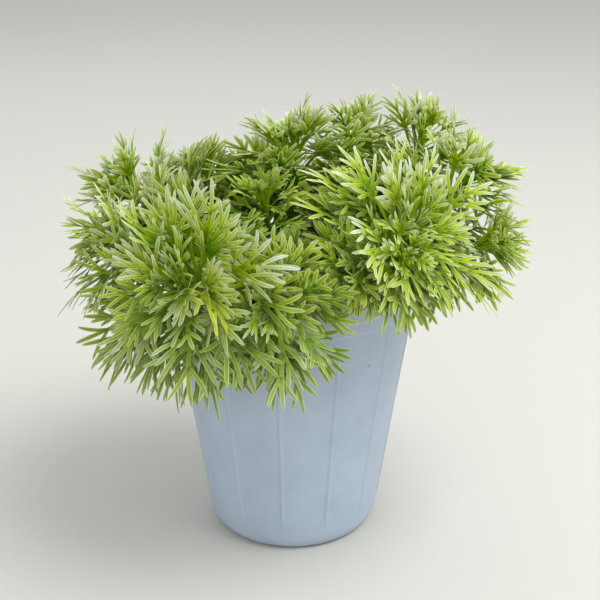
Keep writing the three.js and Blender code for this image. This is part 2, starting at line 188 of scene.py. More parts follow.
# Spots on a leaf that have to be clear, along and across it, in shares of its length
LEAF_SPOTS = (
    (0.3, 0), (0.5, 0), (0.7, 0), (0.85, 0), (1, 0), (0.6, 0.3), (0.6, -0.3), (0.85, 0.3), (0.85, -0.3),
)

# Shoots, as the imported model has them: where each rosette's heart is, which way it faces, its longest
# leaf, how far down its stem the leaves begin (mm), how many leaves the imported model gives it, and how
# low its leaves hang here (mm)
SHOOT_ROWS = [
    ("front_left", (-34, -47, 108), (-0.3, -0.8, 0.52), 42, 16, 15, 72),
    ("front_right", (37.4, -30, 122.1), (0.2, -0.65, 0.7), 39, 19, 13, 97),
    ("front_low", (-6, -54, 104.2), (-0.1, -0.88, 0.45), 29, 11, 11, 76),
    ("left_low", (-59.1, -16, 114.9), (-0.85, -0.15, 0.5), 35, 18, 9, 88),
    ("left", (-57.5, 14, 123), (-0.6, 0.2, 0.77), 35, 18, 9, 96),
    ("right_low", (67.1, -12, 111.8), (0.8, -0.2, 0.55), 29, 17, 9, 93),
    ("right", (60.8, 8, 127.8), (0.62, 0, 0.78), 33, 18, 9, 96),
    ("back_right_tall", (49.4, 32, 140.2), (0.25, 0.3, 0.92), 27, 18, 9, 92),
    ("back_right_inner", (24.3, 40, 137.9), (0, 0.3, 0.95), 27, 18, 8, 92),
    ("back_centre", (0.3, 30, 134), (-0.05, 0.1, 1), 34, 18, 9, 92),
    ("back_left", (-34.4, 36, 124.6), (-0.35, 0.4, 0.85), 24, 18, 9, 92),
    ("centre", (-10.2, -5, 125.5), (-0.1, -0.2, 0.97), 23, 18, 8, 91),
    ("front_inner", (0.2, -36, 111.6), (0, -0.6, 0.8), 18, 10, 6, 95),
    ("front_right_inner", (21.6, -42, 112.8), (0.3, -0.8, 0.5), 23, 12, 7, 98),
    ("front_right_low", (35, -46, 118), (0.3, -0.9, 0.3), 17, 8, 5, 98),
    ("centre_small", (9.3, 2, 119.1), (0.1, -0.1, 0.98), 14, 10, 5, 91),
    ("left_inner", (-24, -22, 113), (-0.2, -0.3, 0.93), 22, 12, 6, 91),
    ("left_middle", (-36, 8, 119), (-0.3, 0, 0.95), 24, 14, 5, 91),
    ("right_inner", (34, 3, 122), (0.2, -0.1, 0.97), 24, 14, 5, 91),
    ("rear_left", (-46, 48, 114), (-0.6, 0.6, 0.55), 28, 18, 7, 80),
    ("rear_middle", (-10, 60, 116), (-0.1, 0.85, 0.55), 28, 18, 7, 80),
    ("rear_right", (33, 60, 118), (0.35, 0.75, 0.55), 28, 18, 7, 80),
]
SHOOTS = [
    {
        "number": number, "name": name, "heart": Vector(heart) * MM, "axis": Vector(axis).normalized(),
        "longest": longest * MM, "leafy": leafy * MM, "cad_leaves": cad_leaves, "lowest": lowest * MM,
    }
    for number, (name, heart, axis, longest, leafy, cad_leaves, lowest) in enumerate(SHOOT_ROWS)
]

# Single leaves at the mound's edge, hanging over the rim or closing a gap between rosettes, by shoot: where
# on its stem a leaf grows, where its tip is (mm), how far it bends on the way (degrees), and, where it has
# begun to yellow, how far
LONE_LEAVES = {
    "front_right_low": [(0.84, (36.3, -55, 91.5), 70), (0.92, (49, -53, 97), 60)],
    "right_low": [
        (0.8, (64, -34, 94.5), 70), (0.9, (80, -18, 104), 40), (0.86, (83, -20, 108.6), 30),
        (0.92, (84.3, -12, 120.3), 20), (0.78, (45.3, -34, 92.4), 60),
    ],
    "left_low": [
        (0.86, (-82.5, -10, 117.5), 20), (0.88, (-77.8, -16, 101.7), 25), (0.84, (-75.8, -18, 97.4), 30),
        (0.9, (-76.6, -12, 109.6), 25), (0.92, (-77.4, -6, 124.1), 15),
    ],
    "left": [
        (0.94, (-82, 10, 131), 20), (0.97, (-71, 16, 138), 12), (0.8, (-57.4, -6, 117.7), 40),
        (0.85, (-59.6, 2, 117.3), 35),
    ],
    "right": [
        (0.94, (78, 5, 133), 15), (0.92, (81.5, 6, 128), 20), (0.95, (77.5, 12, 127.4), 15),
        (0.93, (81.2, 14, 130.5), 15), (0.9, (83, 10, 124.3), 20), (0.86, (81.3, 6, 118.6), 25),
    ],
    "back_centre": [
        (0.96, (6, 31, 153.8), 8), (0.97, (11.5, 30, 150), 12), (0.94, (18, 29, 146), 20),
        (0.8, (22, 18, 131), 35), (0.94, (9.1, 22, 142.2), 20), (0.95, (1.3, 30, 150.2), 12),
        (0.93, (12.8, 28, 148.8), 20), (0.9, (-11, 30, 144), 20), (0.92, (-8.9, 30, 140.3), 15),
        (0.86, (2.7, 6, 121.8), 45), (0.9, (-6.1, 12, 125.2), 35), (0.88, (5.3, 24, 129.9), 25),
    ],
    "front_low": [(0.85, (8.7, -66, 86), 60), (0.8, (-1.8, -70.5, 79.7), 65)],
    "front_left": [
        (0.85, (-13.8, -70.5, 82.2), 70), (0.8, (-30, -70, 76), 75), (0.97, (-18.7, -71, 102), 70, 0.8),
        (0.86, (-54.6, -34, 133.9), 12), (0.78, (-32.1, -66, 102), 62), (0.82, (-34.5, -62, 104.2), 60),
    ],
    "front_right_inner": [
        (0.9, (23.8, -57, 104.4), 50, 0.3), (0.86, (21.8, -55, 100.6), 55), (0.9, (26.1, -55, 99.9), 55),
        (0.94, (29.7, -56, 100.7), 55), (0.88, (17, -53, 99.1), 55), (0.82, (18.9, -52, 100.7), 60),
    ],
    "back_right_inner": [
        (0.9, (14.1, 30, 132.8), 20), (0.93, (32.1, 36, 143.3), 15), (0.94, (22, 42, 149.4), 12),
        (0.84, (12.2, 24, 125.5), 35), (0.88, (20.8, 22, 123.8), 40), (0.86, (10.8, 32, 130.8), 25),
        (0.85, (19.6, 32, 131.6), 25),
    ],
    "back_right_tall": [
        (0.92, (34.5, 28, 143), 25), (0.96, (44.5, 34, 150.8), 15), (0.94, (37.5, 32, 147.9), 20),
        (0.85, (37, 18, 129.7), 35), (0.9, (43.1, 14, 128.3), 35),
    ],
    "front_inner": [
        (0.8, (9.9, -52, 98.7), 60), (0.86, (14.6, -50, 99.8), 55), (0.9, (12, -53, 106.4), 50),
    ],
    "back_left": [(0.94, (-25.8, 32, 136.8), 15)],
    "centre": [(0.9, (-2.3, -14, 121.3), 30)],
    "front_right": [(0.78, (41.5, -50, 90.6), 60)],
    "left_inner": [(0.9, (-56.8, -8, 123.3), 20)],
    "left_middle": [(0.92, (-56.4, 4, 122.1), 20)],
}

# Leaf kinds: flat leaves one unit long that stand for a leaf of any length. A kind suits leaves up to its
# age, where 1 is the youngest, and from its length (mm). Segments spread from the fork, each as slant, length
# and the number of side lobes that it bears; a middle one stands alone and the others in pairs
LEAF_KINDS = [
    {
        "name": "broad", "until_age": 0.7, "from_length": 25, "copies": 8, "fork": 0.53, "splay": 1,
        "segments": [(0, 0.41, 2), (27, 0.39, 1), (46, 0.34, 1)],
    },
    {
        "name": "plain", "until_age": 0.7, "from_length": 0, "copies": 5, "fork": 0.52, "splay": 1,
        "segments": [(0, 0.42, 1), (29, 0.39, 1), (48, 0.34, 0)],
    },
    {
        "name": "half_open", "until_age": 0.86, "from_length": 0, "copies": 5, "fork": 0.5, "splay": 0.6,
        "segments": [(0, 0.44, 1), (24, 0.4, 1), (43, 0.34, 0)],
    },
    {
        "name": "young", "until_age": 1, "from_length": 0, "copies": 4, "fork": 0.4, "splay": -0.4,
        "segments": [(0, 0.52, 0), (20, 0.48, 0), (36, 0.42, 0)],
    },
]
# How chance varies a segment and its side lobes: slants and turns in degrees, the rest in shares
FORK_CHANGE = (-0.04, 0.03)
SEGMENT_OFF_FACE = (-0.004, 0.004)
SEGMENT_SLANT_CHANGE = (-8, 10)
SEGMENT_TURN = (-32, 30)
SEGMENT_LIFT = (-0.2, 0.3)
SEGMENT_LENGTH_CHANGE = (0.86, 1.08)
SEGMENT_FORK = (0.16, 0.36)
END_REACH = (0.9, 1.05)
SIDE_FORK_CHANGE = (0.82, 1.08)
SIDE_SLANT = (20, 36)
SIDE_TURN = (-34, 26)
SIDE_LENGTH = (0.74, 1)
SIDE_LIFT_CHANGE = (-0.2, 0.24)
# Where a lobe has its rings, and how wide it is
LOBE_SHARES = (0, 0.3, 0.6, 0.82, 0.93, 0.985)
LOBE_WIDEST = 0.62
LOBE_FOOT_WIDTH = 0.76
SEGMENT_FOOT_WIDTH = 0.84
SEGMENT_FOOT_END = 0.6
SIDE_WIDTH = 0.92
STRAIGHT_AT = 0.35
LIFT_POWER = 1.6
CENTRE_LINE_STEPS = 10
STALK_SHARES = (0, 0.3, 0.6, 0.8, 0.92, 1)
STALK_WIDTHS = (1.1, 0.9, 0.95, 1.15, 1.5, 1.5)
FORK_STEP = 0.07
# How far out on the leaf a part is, from the stalk's foot at 0 to the tips at about 1
FORK_REACH = 0.4
SIDE_FOOT_REACH = 0.55
# A lobe's section in half widths, across and off the face: flat, with a faint groove and a shallow keel
LOBE_SECTION = ((0, 0.05), (0.7, 0.12), (1, 0), (0, -0.24), (-1, 0), (-0.7, 0.12))
LOBE_MARGIN = (0, 0.7, 1, 0.35, 1, 0.7)
MARGIN_ANGLE = math.radians(60)

# The mound, roughly an ellipsoid: its middle and how far it reaches from there, for the painted light and
# shade on its leaves
MOUND_CENTRE = (0, 0, 100 * MM)
MOUND_REACH = (80 * MM, 72 * MM, 52 * MM)

# Leaf colours: green to silver as the hairs thicken and as painted light pales the mound's top and outside,
# and the shades that are mixed in over them, in order, some of them painted shade
LEAF_COLOURS = ((0, "#527a00"), (0.24, "#7a9b00"), (0.5, "#9ab010"), (0.76, "#afc17a"), (1, "#cedbc6"))
LEAF_SHADES = (
    ("dull", "#667c4c"), ("groove", "#66860a"), ("heart_shade", "#35610c"), ("yellow", "#a9b40e"),
    ("edge_hairs", "#eef2d6"),
)

# Camera: where the photograph was taken from
CAMERA_PLACE = (2.74 * MM, -380.6 * MM, 238.8 * MM)
CAMERA_PITCH = math.radians(22)
CAMERA_LENS = 69
SENSOR_WIDTH = 36

# Studio: each light's place, size and power, a large soft key from the upper right, a weak fill from the
# front left and a weak one from behind
LIGHTS = {
    "key": ((0.5, -0.2, 1.0), 0.7, 11.2),
    "fill": ((-0.5, -0.9, 0.6), 0.9, 1.2),
    "glow": ((-0.35, 0.7, 0.8), 0.8, 1.5),
}
LIGHTS_AIM = Vector((0, 0, 0.09))
FLOOR_REACH = 3
WORLD_STRENGTH = 0.96


# Small tools

def linear(hex_colour):
    """A colour for a socket, from its sRGB hex value."""
    parts = [int(hex_colour[i:i + 2], 16) / 255 for i in (1, 3, 5)]
    return tuple(c / 12.92 if c <= 0.04045 else ((c + 0.055) / 1.055) ** 2.4 for c in parts) + (1.0,)


def add(tree, kind, inputs=None, **settings):
    """Adds a node with its settings; inputs gives each socket a value or another node's output."""
    node = tree.nodes.new(kind)
    for name, value in settings.items():
        setattr(node, name, value)
    for socket, value in (inputs or {}).items():
        if isinstance(value, bpy.types.NodeSocket):
            tree.links.new(value, node.inputs[socket])
        else:
            node.inputs[socket].default_value = value
    return node


def work_out(tree, known, steps):
    """Adds a node for each step and keeps its output by name. A step is a name, an operation and what that
    works on, in numbers or in names. LINEAR and SMOOTHSTEP map a value from one range to another."""
    for name, operation, *values in steps:
        inputs = {i: known.get(value, value) for i, value in enumerate(values)}
        if operation in ("LINEAR", "SMOOTHSTEP"):
            node = add(tree, "ShaderNodeMapRange", inputs, interpolation_type=operation)
        else:
            node = add(tree, "ShaderNodeMath", inputs, operation=operation)
        known[name] = node.outputs[0]
    return known


def set_stops(ramp, stops):
    """Gives a colour ramp its stops, each a position and a hex value, from the lowest up."""
    elements = ramp.color_ramp.elements
    while len(elements) < len(stops):
        elements.new(1)
    for element, (position, colour) in zip(elements, stops):
        element.position = position
        element.color = linear(colour)


def new_tree(name, sizes):
    """A Geometry Nodes tree and its inputs by name. Each comes as a name, a kind of socket and its value."""
    tree = bpy.data.node_groups.new(name, "GeometryNodeTree")
    for label, kind, *value in (("Geometry", "Geometry"), *sizes):
        socket = tree.interface.new_socket(label, in_out="INPUT", socket_type=f"NodeSocket{kind}")
        if value:
            socket.default_value = value[0]
    tree.interface.new_socket("Geometry", in_out="OUTPUT", socket_type="NodeSocketGeometry")
    return tree, dict(add(tree, "NodeGroupInput").outputs.items())


def grow(source, tree, values, name):
    """Runs a tree on an object and returns its result as a new plain mesh object. The tree's own values hold
    where none is given."""
    modifier = source.modifiers.new("grow", "NODES")
    modifier.node_group = tree
    for item in tree.interface.items_tree:
        if item.in_out == "INPUT" and item.name in values:
            modifier[item.identifier] = values[item.name]
    bpy.context.view_layer.update()
    graph = bpy.context.evaluated_depsgraph_get()
    evaluated = source.evaluated_get(graph)
    mesh = bpy.data.meshes.new_from_object(evaluated, preserve_all_data_layers=True, depsgraph=graph)
    mesh.name = name
    bpy.data.objects.remove(source)
    return link(name, mesh)


def link(name, data):
    thing = bpy.data.objects.new(name, data)
    bpy.context.scene.collection.objects.link(thing)
    return thing


def make_mesh(name, points, faces, attributes=None):
    """A smooth mesh with attributes, each a name with one number or one vector for each point."""
    mesh = bpy.data.meshes.new(name)
    mesh.from_pydata([tuple(p) for p in points], [], faces)
    for label, values in (attributes or {}).items():
        values = np.asarray(values, np.float32)
        kind, field = ("FLOAT_VECTOR", "vector") if values.ndim == 2 else ("FLOAT", "value")
        layer = mesh.attributes.new(label, kind, "POINT")
        layer.data.foreach_set(field, values.ravel())
    mesh.polygons.foreach_set("use_smooth", [True] * len(mesh.polygons))
    mesh.update()
    return mesh


def draw(first, second):
    """A number from 0 to 1 that two whole numbers always give alike. Other numbers give another draw."""
    wave = math.sin(first * SCATTER[0] + second * SCATTER[1]) * SCATTER[2]
    return wave - math.floor(wave)


def lerp(start, end, share):
    return start + (end - start) * share


def curve_point(start, corner, end, t):
    """A point of the curve that leaves one end towards a corner and comes from there to the other end."""
    return tuple((1 - t) ** 2 * a + 2 * t * (1 - t) * b + t * t * c for a, b, c in zip(start, corner, end))


def new_shelf(name):
    """A collection that holds the few kinds of a thing for a tree to pick from."""
    shelf = bpy.data.collections.new(name)
    bpy.context.scene.collection.children.link(shelf)
    return shelf


def clear_shelf(shelf):
    for thing in list(shelf.objects):
        bpy.data.objects.remove(thing)
    bpy.data.collections.remove(shelf)


# Materials

def new_material(name):
    material = bpy.data.materials.new(name)
    material.use_nodes = True
    material.node_tree.nodes.clear()
    return material, material.node_tree


def show(tree, shader):
    add(tree, "ShaderNodeOutputMaterial", {"Surface": shader.outputs["BSDF"]})


def make_leaf_material():
    """Living leaf under silky hairs: deep yellow-green at its stalk, paling to silvery margins and tips, with
    painted light on the mound's top and outside and painted shade inside it, low down, in the rosettes'
    hearts and in the lobes' grooves.
    """
    material, tree = new_material("silky_leaf")
    place = add(tree, "ShaderNodeTexCoord").outputs["Object"]
    centred = add(tree, "ShaderNodeVectorMath", {0: place, 1: MOUND_CENTRE}, operation="SUBTRACT").outputs[0]
    scaled = add(tree, "ShaderNodeVectorMath", {0: centred, 1: MOUND_REACH}, operation="DIVIDE").outputs[0]
    depth = add(tree, "ShaderNodeVectorMath", {0: scaled}, operation="LENGTH").outputs["Value"]
    height = add(tree, "ShaderNodeSeparateXYZ", {0: place}).outputs["Z"]
    # Blotches about 6 mm across, as one lobe greys before the next
    blotches = {"Vector": place, "Scale": 0.16 / MM, "Detail": 2.0}
    # Hairs are far finer than a pixel, so they are drawn as flecks about 0.4 mm across
    flecks = {"Vector": place, "Scale": 2.6 / MM, "Detail": 2.0}
    known = {"depth": depth, "height": height}
    for name, pattern in (("blotch", blotches), ("hairs", flecks)):
        known[name] = add(tree, "ShaderNodeTexNoise", pattern).outputs["Fac"]
    for name in ("reach", "margin", "age", "tint", "low", "yellow"):
        known[name] = add(tree, "ShaderNodeAttribute", attribute_name=name).outputs["Fac"]
    work_out(tree, known, [
        # Painted light and shade: leaves on the mound's outside, and more so towards its top, are paled
        # towards silver as if lit, and the ones inside it stay greener as if shaded
        ("exposed", "SMOOTHSTEP", "depth", 0.6, 1.0),
        ("high", "LINEAR", "height", 105 * MM, 140 * MM),
        # Olive stalks turn silvery where their lobes part
        ("outer", "SMOOTHSTEP", "reach", FORK_REACH, 1.0),
        ("outside", "MULTIPLY_ADD", "exposed", 0.34, 0.2),
        ("hairy", "MULTIPLY_ADD", "high", 0.26, "outside"),
        ("paled", "MULTIPLY", "outer", "hairy"),
        ("chanced", "MULTIPLY_ADD", "tint", 0.34, "paled"),
        ("blotched", "MULTIPLY_ADD", "blotch", 0.3, "chanced"),
        # Painted shade: the low leaves are kept greener and less silver
        ("shaded", "MULTIPLY_ADD", "low", -0.25, "blotched"),
        ("silver", "SUBTRACT", "shaded", 0.16),
        # Painted shade: the leaves lowest on the mound are darkened to a dull grey-green, and the groove of
        # every lobe, with a little of its keel, is darkened to a deeper green
        ("dull", "LINEAR", "height", 116 * MM, 82 * MM, 0.0, 0.6),
        ("groove", "LINEAR", "margin", 0.5, 0.0, 0.0, 0.42),
        # The heart's folded young leaves are a darker, cooler green low down, and painted shade darkens them
        # there further, where the rosette's heart lies in shade
        ("heart", "LINEAR", "age", 0.66, 1.0, 0.0, 0.85),
        ("inner", "MULTIPLY_ADD", "outer", -0.7, 1.0),
        ("heart_shade", "MULTIPLY", "heart", "inner"),
        # Hairs show palest along a lobe's margin
        ("edge", "LINEAR", "margin", 0.66, 1.0, 0.0, 0.78),
        ("edge_hairs", "MULTIPLY", "edge", "outer"),
        ("roughness", "LINEAR", "hairs", 0.3, 0.7, 0.5, 0.72),
    ])
    body = add(tree, "ShaderNodeValToRGB", {"Fac": known["silver"]})
    set_stops(body, LEAF_COLOURS)
    colour = body.outputs["Color"]
    for amount, shade in LEAF_SHADES:
        mix = {"Factor": known[amount], "A": colour, "B": linear(shade)}
        colour = add(tree, "ShaderNodeMix", mix, data_type="RGBA").outputs["Result"]
    bump = add(tree, "ShaderNodeBump", {"Height": known["hairs"], "Strength": 0.25, "Distance": 0.1 * MM})
    shader = add(tree, "ShaderNodeBsdfPrincipled", {
        "Base Color": colour, "Roughness": known["roughness"], "Normal": bump.outputs["Normal"], "IOR": 1.42,
        "Subsurface Weight": 0.5, "Subsurface Radius": (0.9, 1.0, 0.3), "Subsurface Scale": 1.2 * MM,
        "Sheen Weight": 0.05, "Sheen Roughness": 0.4, "Sheen Tint": linear("#f4f8d8"),
        "Specular IOR Level": 0.08,
    })
    show(tree, shader)
    return material


def make_pot_material():
    """Thin injection-moulded polypropylene: satin, a little see-through at its edges, faintly soiled."""
    material, tree = new_material("thin_polypropylene")
    place = add(tree, "ShaderNodeTexCoord").outputs["Object"]
    # A film of dried watering marks, in patches about 15 mm across
    film = add(tree, "ShaderNodeTexNoise", {
        "Vector": place, "Scale": 0.07 / MM, "Detail": 5.0, "Roughness": 0.6,
    }).outputs["Fac"]
    # Soil specks about 1 mm across, so rare that only one or two touch the pot's skin
    cells = add(tree, "ShaderNodeTexVoronoi", {"Vector": place, "Scale": 0.115 / MM})
    chosen = add(tree, "ShaderNodeSeparateColor", {"Color": cells.outputs["Color"]}).outputs["Red"]
    known = work_out(tree, {"film": film, "far": cells.outputs["Distance"], "chosen": chosen}, [
        ("rare", "GREATER_THAN", "chosen", 0.965),
        ("size", "MULTIPLY", "chosen", 0.062),
        ("near", "LESS_THAN", "far", "size"),
        ("speck", "MULTIPLY", "rare", "near"),
        ("speck_shade", "MULTIPLY", "speck", 0.42),
        ("roughness", "LINEAR", "film", 0.3, 0.7, 0.36, 0.5),
    ])
    wall = add(tree, "ShaderNodeValToRGB", {"Fac": film})
    set_stops(wall, ((0.3, "#a7b6c8"), (0.7, "#b1c0d1")))
    colour = add(tree, "ShaderNodeMix", {
        "Factor": known["speck_shade"], "A": wall.outputs["Color"], "B": linear("#4f4c45"),
    }, data_type="RGBA").outputs["Result"]
    # The mould's spark-eroded grain, drawn about 0.5 mm across so that it shows
    grain = add(tree, "ShaderNodeTexNoise", {"Vector": place, "Scale": 2.2 / MM, "Detail": 1.0})
    bump = add(tree, "ShaderNodeBump", {
        "Height": grain.outputs["Fac"], "Strength": 0.06, "Distance": 0.1 * MM,
    })
    shader = add(tree, "ShaderNodeBsdfPrincipled", {
        "Base Color": colour, "Roughness": known["roughness"], "Normal": bump.outputs["Normal"], "IOR": 1.49,
        "Subsurface Weight": 0.12, "Subsurface Radius": (0.8, 0.9, 1.0), "Subsurface Scale": 0.8 * MM,
    })
    show(tree, shader)
    return material


def make_soil_material(name, dark, pale, grains_per_mm, roughness):
    """Potting mix, open and matt: peat crumb, or pale expanded mineral grains."""
    material, tree = new_material(name)
    place = add(tree, "ShaderNodeTexCoord").outputs["Object"]
    noise = add(tree, "ShaderNodeTexNoise", {
        "Vector": place, "Scale": grains_per_mm / MM, "Detail": 6.0,
    }).outputs["Fac"]
    ramp = add(tree, "ShaderNodeValToRGB", {"Fac": noise})
    set_stops(ramp, ((0.3, dark), (0.7, pale)))
    bump = add(tree, "ShaderNodeBump", {"Height": noise, "Strength": 0.8, "Distance": 0.5 * MM})
    shader = add(tree, "ShaderNodeBsdfPrincipled", {
        "Base Color": ramp.outputs["Color"], "Roughness": roughness, "Normal": bump.outputs["Normal"],
    })
    show(tree, shader)
    return material


# Pot

def wall_radius(z):
    return WALL_RADIUS_AT_BENCH + WALL_TAPER * z


def bore_radius(z):
    foot = wall_radius(FOOT_EDGE_HEIGHT) - WALL_THICKNESS
    return lerp(foot, RIM_RADIUS - RIM_WIDTH, (z - FOOT_EDGE_HEIGHT) / (POT_HEIGHT - FOOT_EDGE_HEIGHT))


def rounded(points, radius):
    """A profile with each inner corner rounded by a short curve, which takes less than half of a side."""
    done = [points[0]]
    for before, corner, after in zip(points, points[1:], points[2:]):
        corner = np.array(corner, float)
        ends = []
        for neighbour in (before, after):
            side = np.array(neighbour, float) - corner
            length = np.linalg.norm(side)
            ends.append(corner + side / length * min(radius, length / SIDE_OVER_CURVE))
        done += [curve_point(ends[0], corner, ends[1], i / CORNER_STEPS) for i in range(CORNER_STEPS + 1)]
    return done + [points[-1]]


def rib_turns():
    """Turns round the pot, close together across each rib and wider apart between them."""
    across_rib = [i * RIB_WIDTH / COLUMNS_PER_RIB_WIDTH / RIM_RADIUS for i in RIB_COLUMNS]
    pitch = 2 * math.pi / RIBS
    between = np.linspace(across_rib[-1], pitch + across_rib[0], COLUMNS_BETWEEN_RIBS)[1:-1]
    return [RIB_TURN + rib * pitch + turn for rib in range(RIBS) for turn in (*across_rib, *between)]


def lathe(name, profile, turns):
    """A closed lathed mesh from a profile that starts and ends on the axis."""
    points = [(0, 0, profile[0][1])]
    for radius, z in profile[1:-1]:
        points += [(radius * math.sin(turn), -radius * math.cos(turn), z) for turn in turns]
    points.append((0, 0, profile[-1][1]))
    count = len(turns)
    last = len(points) - 1 - count
    columns = [(i, (i + 1) % count) for i in range(count)]
    faces = [(0, 1 + after, 1 + i) for i, after in columns]
    for low in range(1, last, count):
        faces += [(low + i, low + after, low + count + after, low + count + i) for i, after in columns]
    faces += [(last + i, last + after, len(points) - 1) for i, after in columns]
    return make_mesh(name, points, faces)


def pot_tree():
    """Raises the ribs on the wall, lets the thin wall wave a little, and drills the drain holes."""
    tree, known = new_tree("pot_ribs_and_drains", [
        ("Ribs", "Float", RIBS),
        ("Rib turn", "Float", RIB_TURN),
        ("Rib height", "Float", RIB_HEIGHT),
        ("Rib width", "Float", RIB_WIDTH),
        ("Rib foot", "Float", RIB_FOOT),
        ("Rib head", "Float", RIB_HEAD),
        ("Wall wave", "Float", WALL_WAVE),
        ("Drain holes", "Int", DRAIN_HOLES),
        ("Drain radius", "Float", DRAIN_RADIUS),
        ("Material", "Material"),
    ])
    place = add(tree, "GeometryNodeInputPosition").outputs[0]
    known.update(add(tree, "ShaderNodeSeparateXYZ", {0: place}).outputs.items())
    # The wall's wave, about 30 mm long
    ripples = {"Vector": place, "Scale": 0.034 / MM, "Detail": 1.0}
    known["ripple"] = add(tree, "ShaderNodeTexNoise", ripples).outputs["Fac"]
    work_out(tree, known, [
        ("front", "MULTIPLY", "Y", -1.0),
        ("turn", "ARCTAN2", "X", "front"),
        ("x2", "MULTIPLY", "X", "X"),
        ("r2", "MULTIPLY_ADD", "Y", "Y", "x2"),
        ("radius", "SQRT", "r2"),
        # Each rib swells from the wall's outside and fades out at its foot and its head
        ("pitch", "DIVIDE", 2 * math.pi, "Ribs"),
        ("from_rib", "SUBTRACT", "turn", "Rib turn"),
        ("half", "DIVIDE", "pitch", 2.0),
        ("off_rib", "PINGPONG", "from_rib", "half"),
        ("distance", "MULTIPLY", "off_rib", "radius"),
        ("half_width", "DIVIDE", "Rib width", 2.0),
        ("wall", "MULTIPLY_ADD", "Z", WALL_TAPER, WALL_RADIUS_AT_BENCH),
        ("inside", "SUBTRACT", "wall", WALL_THICKNESS / 3),
        ("outer", "GREATER_THAN", "radius", "inside"),
        ("height", "MULTIPLY", "Rib height", "outer"),
        ("crest", "SMOOTHSTEP", "distance", "half_width", 0.0, 0.0, "height"),
        ("foot_end", "ADD", "Rib foot", RIB_FADE),
        ("foot", "SMOOTHSTEP", "Z", "Rib foot", "foot_end"),
        ("head_end", "SUBTRACT", "Rib head", RIB_FADE),
        ("head", "SMOOTHSTEP", "Z", "Rib head", "head_end"),
        ("between", "MULTIPLY", "foot", "head"),
        ("rib", "MULTIPLY", "crest", "between"),
        # The wall waves, but not beside its stiff foot and rim band. Noise swings a quarter either way
        ("free", "SMOOTHSTEP", "Z", FOOT_EDGE_HEIGHT, CALM_HEIGHT),
        ("stiff", "SMOOTHSTEP", "Z", BAND_FOOT, BAND_FOOT - CALM_HEIGHT),
        ("loose", "MULTIPLY", "free", "stiff"),
        ("centred", "SUBTRACT", "ripple", 0.5),
        ("waved", "MULTIPLY", "centred", "Wall wave"),
        ("swing", "MULTIPLY", "waved", "loose"),
        ("full_swing", "MULTIPLY", "swing", 4.0),
        ("out", "ADD", "rib", "full_swing"),
        ("share", "DIVIDE", "out", "radius"),
        ("dx", "MULTIPLY", "X", "share"),
        ("dy", "MULTIPLY", "Y", "share"),
    ])
    shift = add(tree, "ShaderNodeCombineXYZ", {"X": known["dx"], "Y": known["dy"]}).outputs[0]
    ribbed = add(tree, "GeometryNodeSetPosition", {"Geometry": known["Geometry"], "Offset": shift}).outputs[0]
    drill = add(tree, "GeometryNodeMeshCylinder", {
        "Vertices": DRAIN_COLUMNS, "Radius": known["Drain radius"], "Depth": 4 * FLOOR_TOP,
    }).outputs["Mesh"]
    ring = add(tree, "GeometryNodeMeshCircle", {
        "Vertices": known["Drain holes"], "Radius": DRAIN_CIRCLE_RADIUS,
    }).outputs[0]
    drills = add(tree, "GeometryNodeInstanceOnPoints", {"Points": ring, "Instance": drill}).outputs[0]
    cut = {"Mesh 1": ribbed, "Mesh 2": drills}
    drilled = add(tree, "GeometryNodeMeshBoolean", cut, operation="DIFFERENCE").outputs["Mesh"]
    whole = add(tree, "GeometryNodeRealizeInstances", {0: drilled}).outputs[0]
    smooth = add(tree, "GeometryNodeSetShadeSmooth", {0: whole}).outputs[0]
    finished = add(tree, "GeometryNodeSetMaterial", {"Geometry": smooth, "Material": known["Material"]})
    add(tree, "NodeGroupOutput", {0: finished.outputs[0]})
    return tree


def make_pot(material):
    """Lathes the pot from the middle of its underside, up the outside and down the bore to its floor."""
    under = [
        (0, 0), (PAD_RADIUS, 0), (PAD_RADIUS + FOOT_RECESS, FOOT_RECESS),
        (FOOT_INNER_RADIUS - FOOT_RECESS, FOOT_RECESS), (FOOT_INNER_RADIUS, 0),
    ]
    foot = (FOOT_OUTER_RADIUS, 0)
    bulge = (wall_radius(0) - FOOT_EDGE_BULGE[0], FOOT_EDGE_BULGE[1])
    end = (wall_radius(FOOT_EDGE_HEIGHT), FOOT_EDGE_HEIGHT)
    foot_edge = [curve_point(foot, bulge, end, i / FOOT_EDGE_STEPS) for i in range(1, FOOT_EDGE_STEPS)]
    wall = [(wall_radius(z), z) for z in np.linspace(FOOT_EDGE_HEIGHT, BAND_FOOT - MM, WALL_RINGS)]
    band = [
        (wall_radius(BAND_FOOT), BAND_FOOT), (wall_radius(BAND_FOOT) + CHAMFER, BAND_FOOT + CHAMFER / 2),
        (RIM_RADIUS - BAND_INSET, BAND_STEP), (RIM_RADIUS - LIP_INSET, BAND_STEP + CHAMFER / 2),
        (RIM_RADIUS - LIP_INSET / 2, LIP_FOOT), (RIM_RADIUS, LIP_FOOT + CHAMFER / 2),
        (RIM_RADIUS, POT_HEIGHT), (RIM_RADIUS - RIM_WIDTH, POT_HEIGHT),
    ]
    bore = [(bore_radius(z), z) for z in np.linspace(BAND_FOOT, FOOT_EDGE_HEIGHT, BORE_RINGS)]
    floor = [(FLOOR_RADIUS, FLOOR_TOP), (0, FLOOR_TOP)]
    profile = rounded(under, FOOT_ROUNDING)[:-1] + [foot] + foot_edge + wall
    profile += rounded(band + bore[:1], RIM_ROUNDING)[:-1] + bore + floor
    source = link("pot_blank", lathe("pot_blank", profile, rib_turns()))
    return grow(source, pot_tree(), {"Material": material}, "ribbed_pot")


# Soil

def soil_height(x, y):
    long, middle, short = SOIL_BUMP_LENGTHS
    swell = math.sin(x / long + 1) * math.cos(y / middle)
    fine = math.sin(x / SOIL_FINE_LENGTHS[0]) * math.sin(y / SOIL_FINE_LENGTHS[1])
    return SOIL_TOP + SOIL_BUMP * (swell + math.sin((x + y) / short) / 2) + SOIL_FINE_BUMP * fine


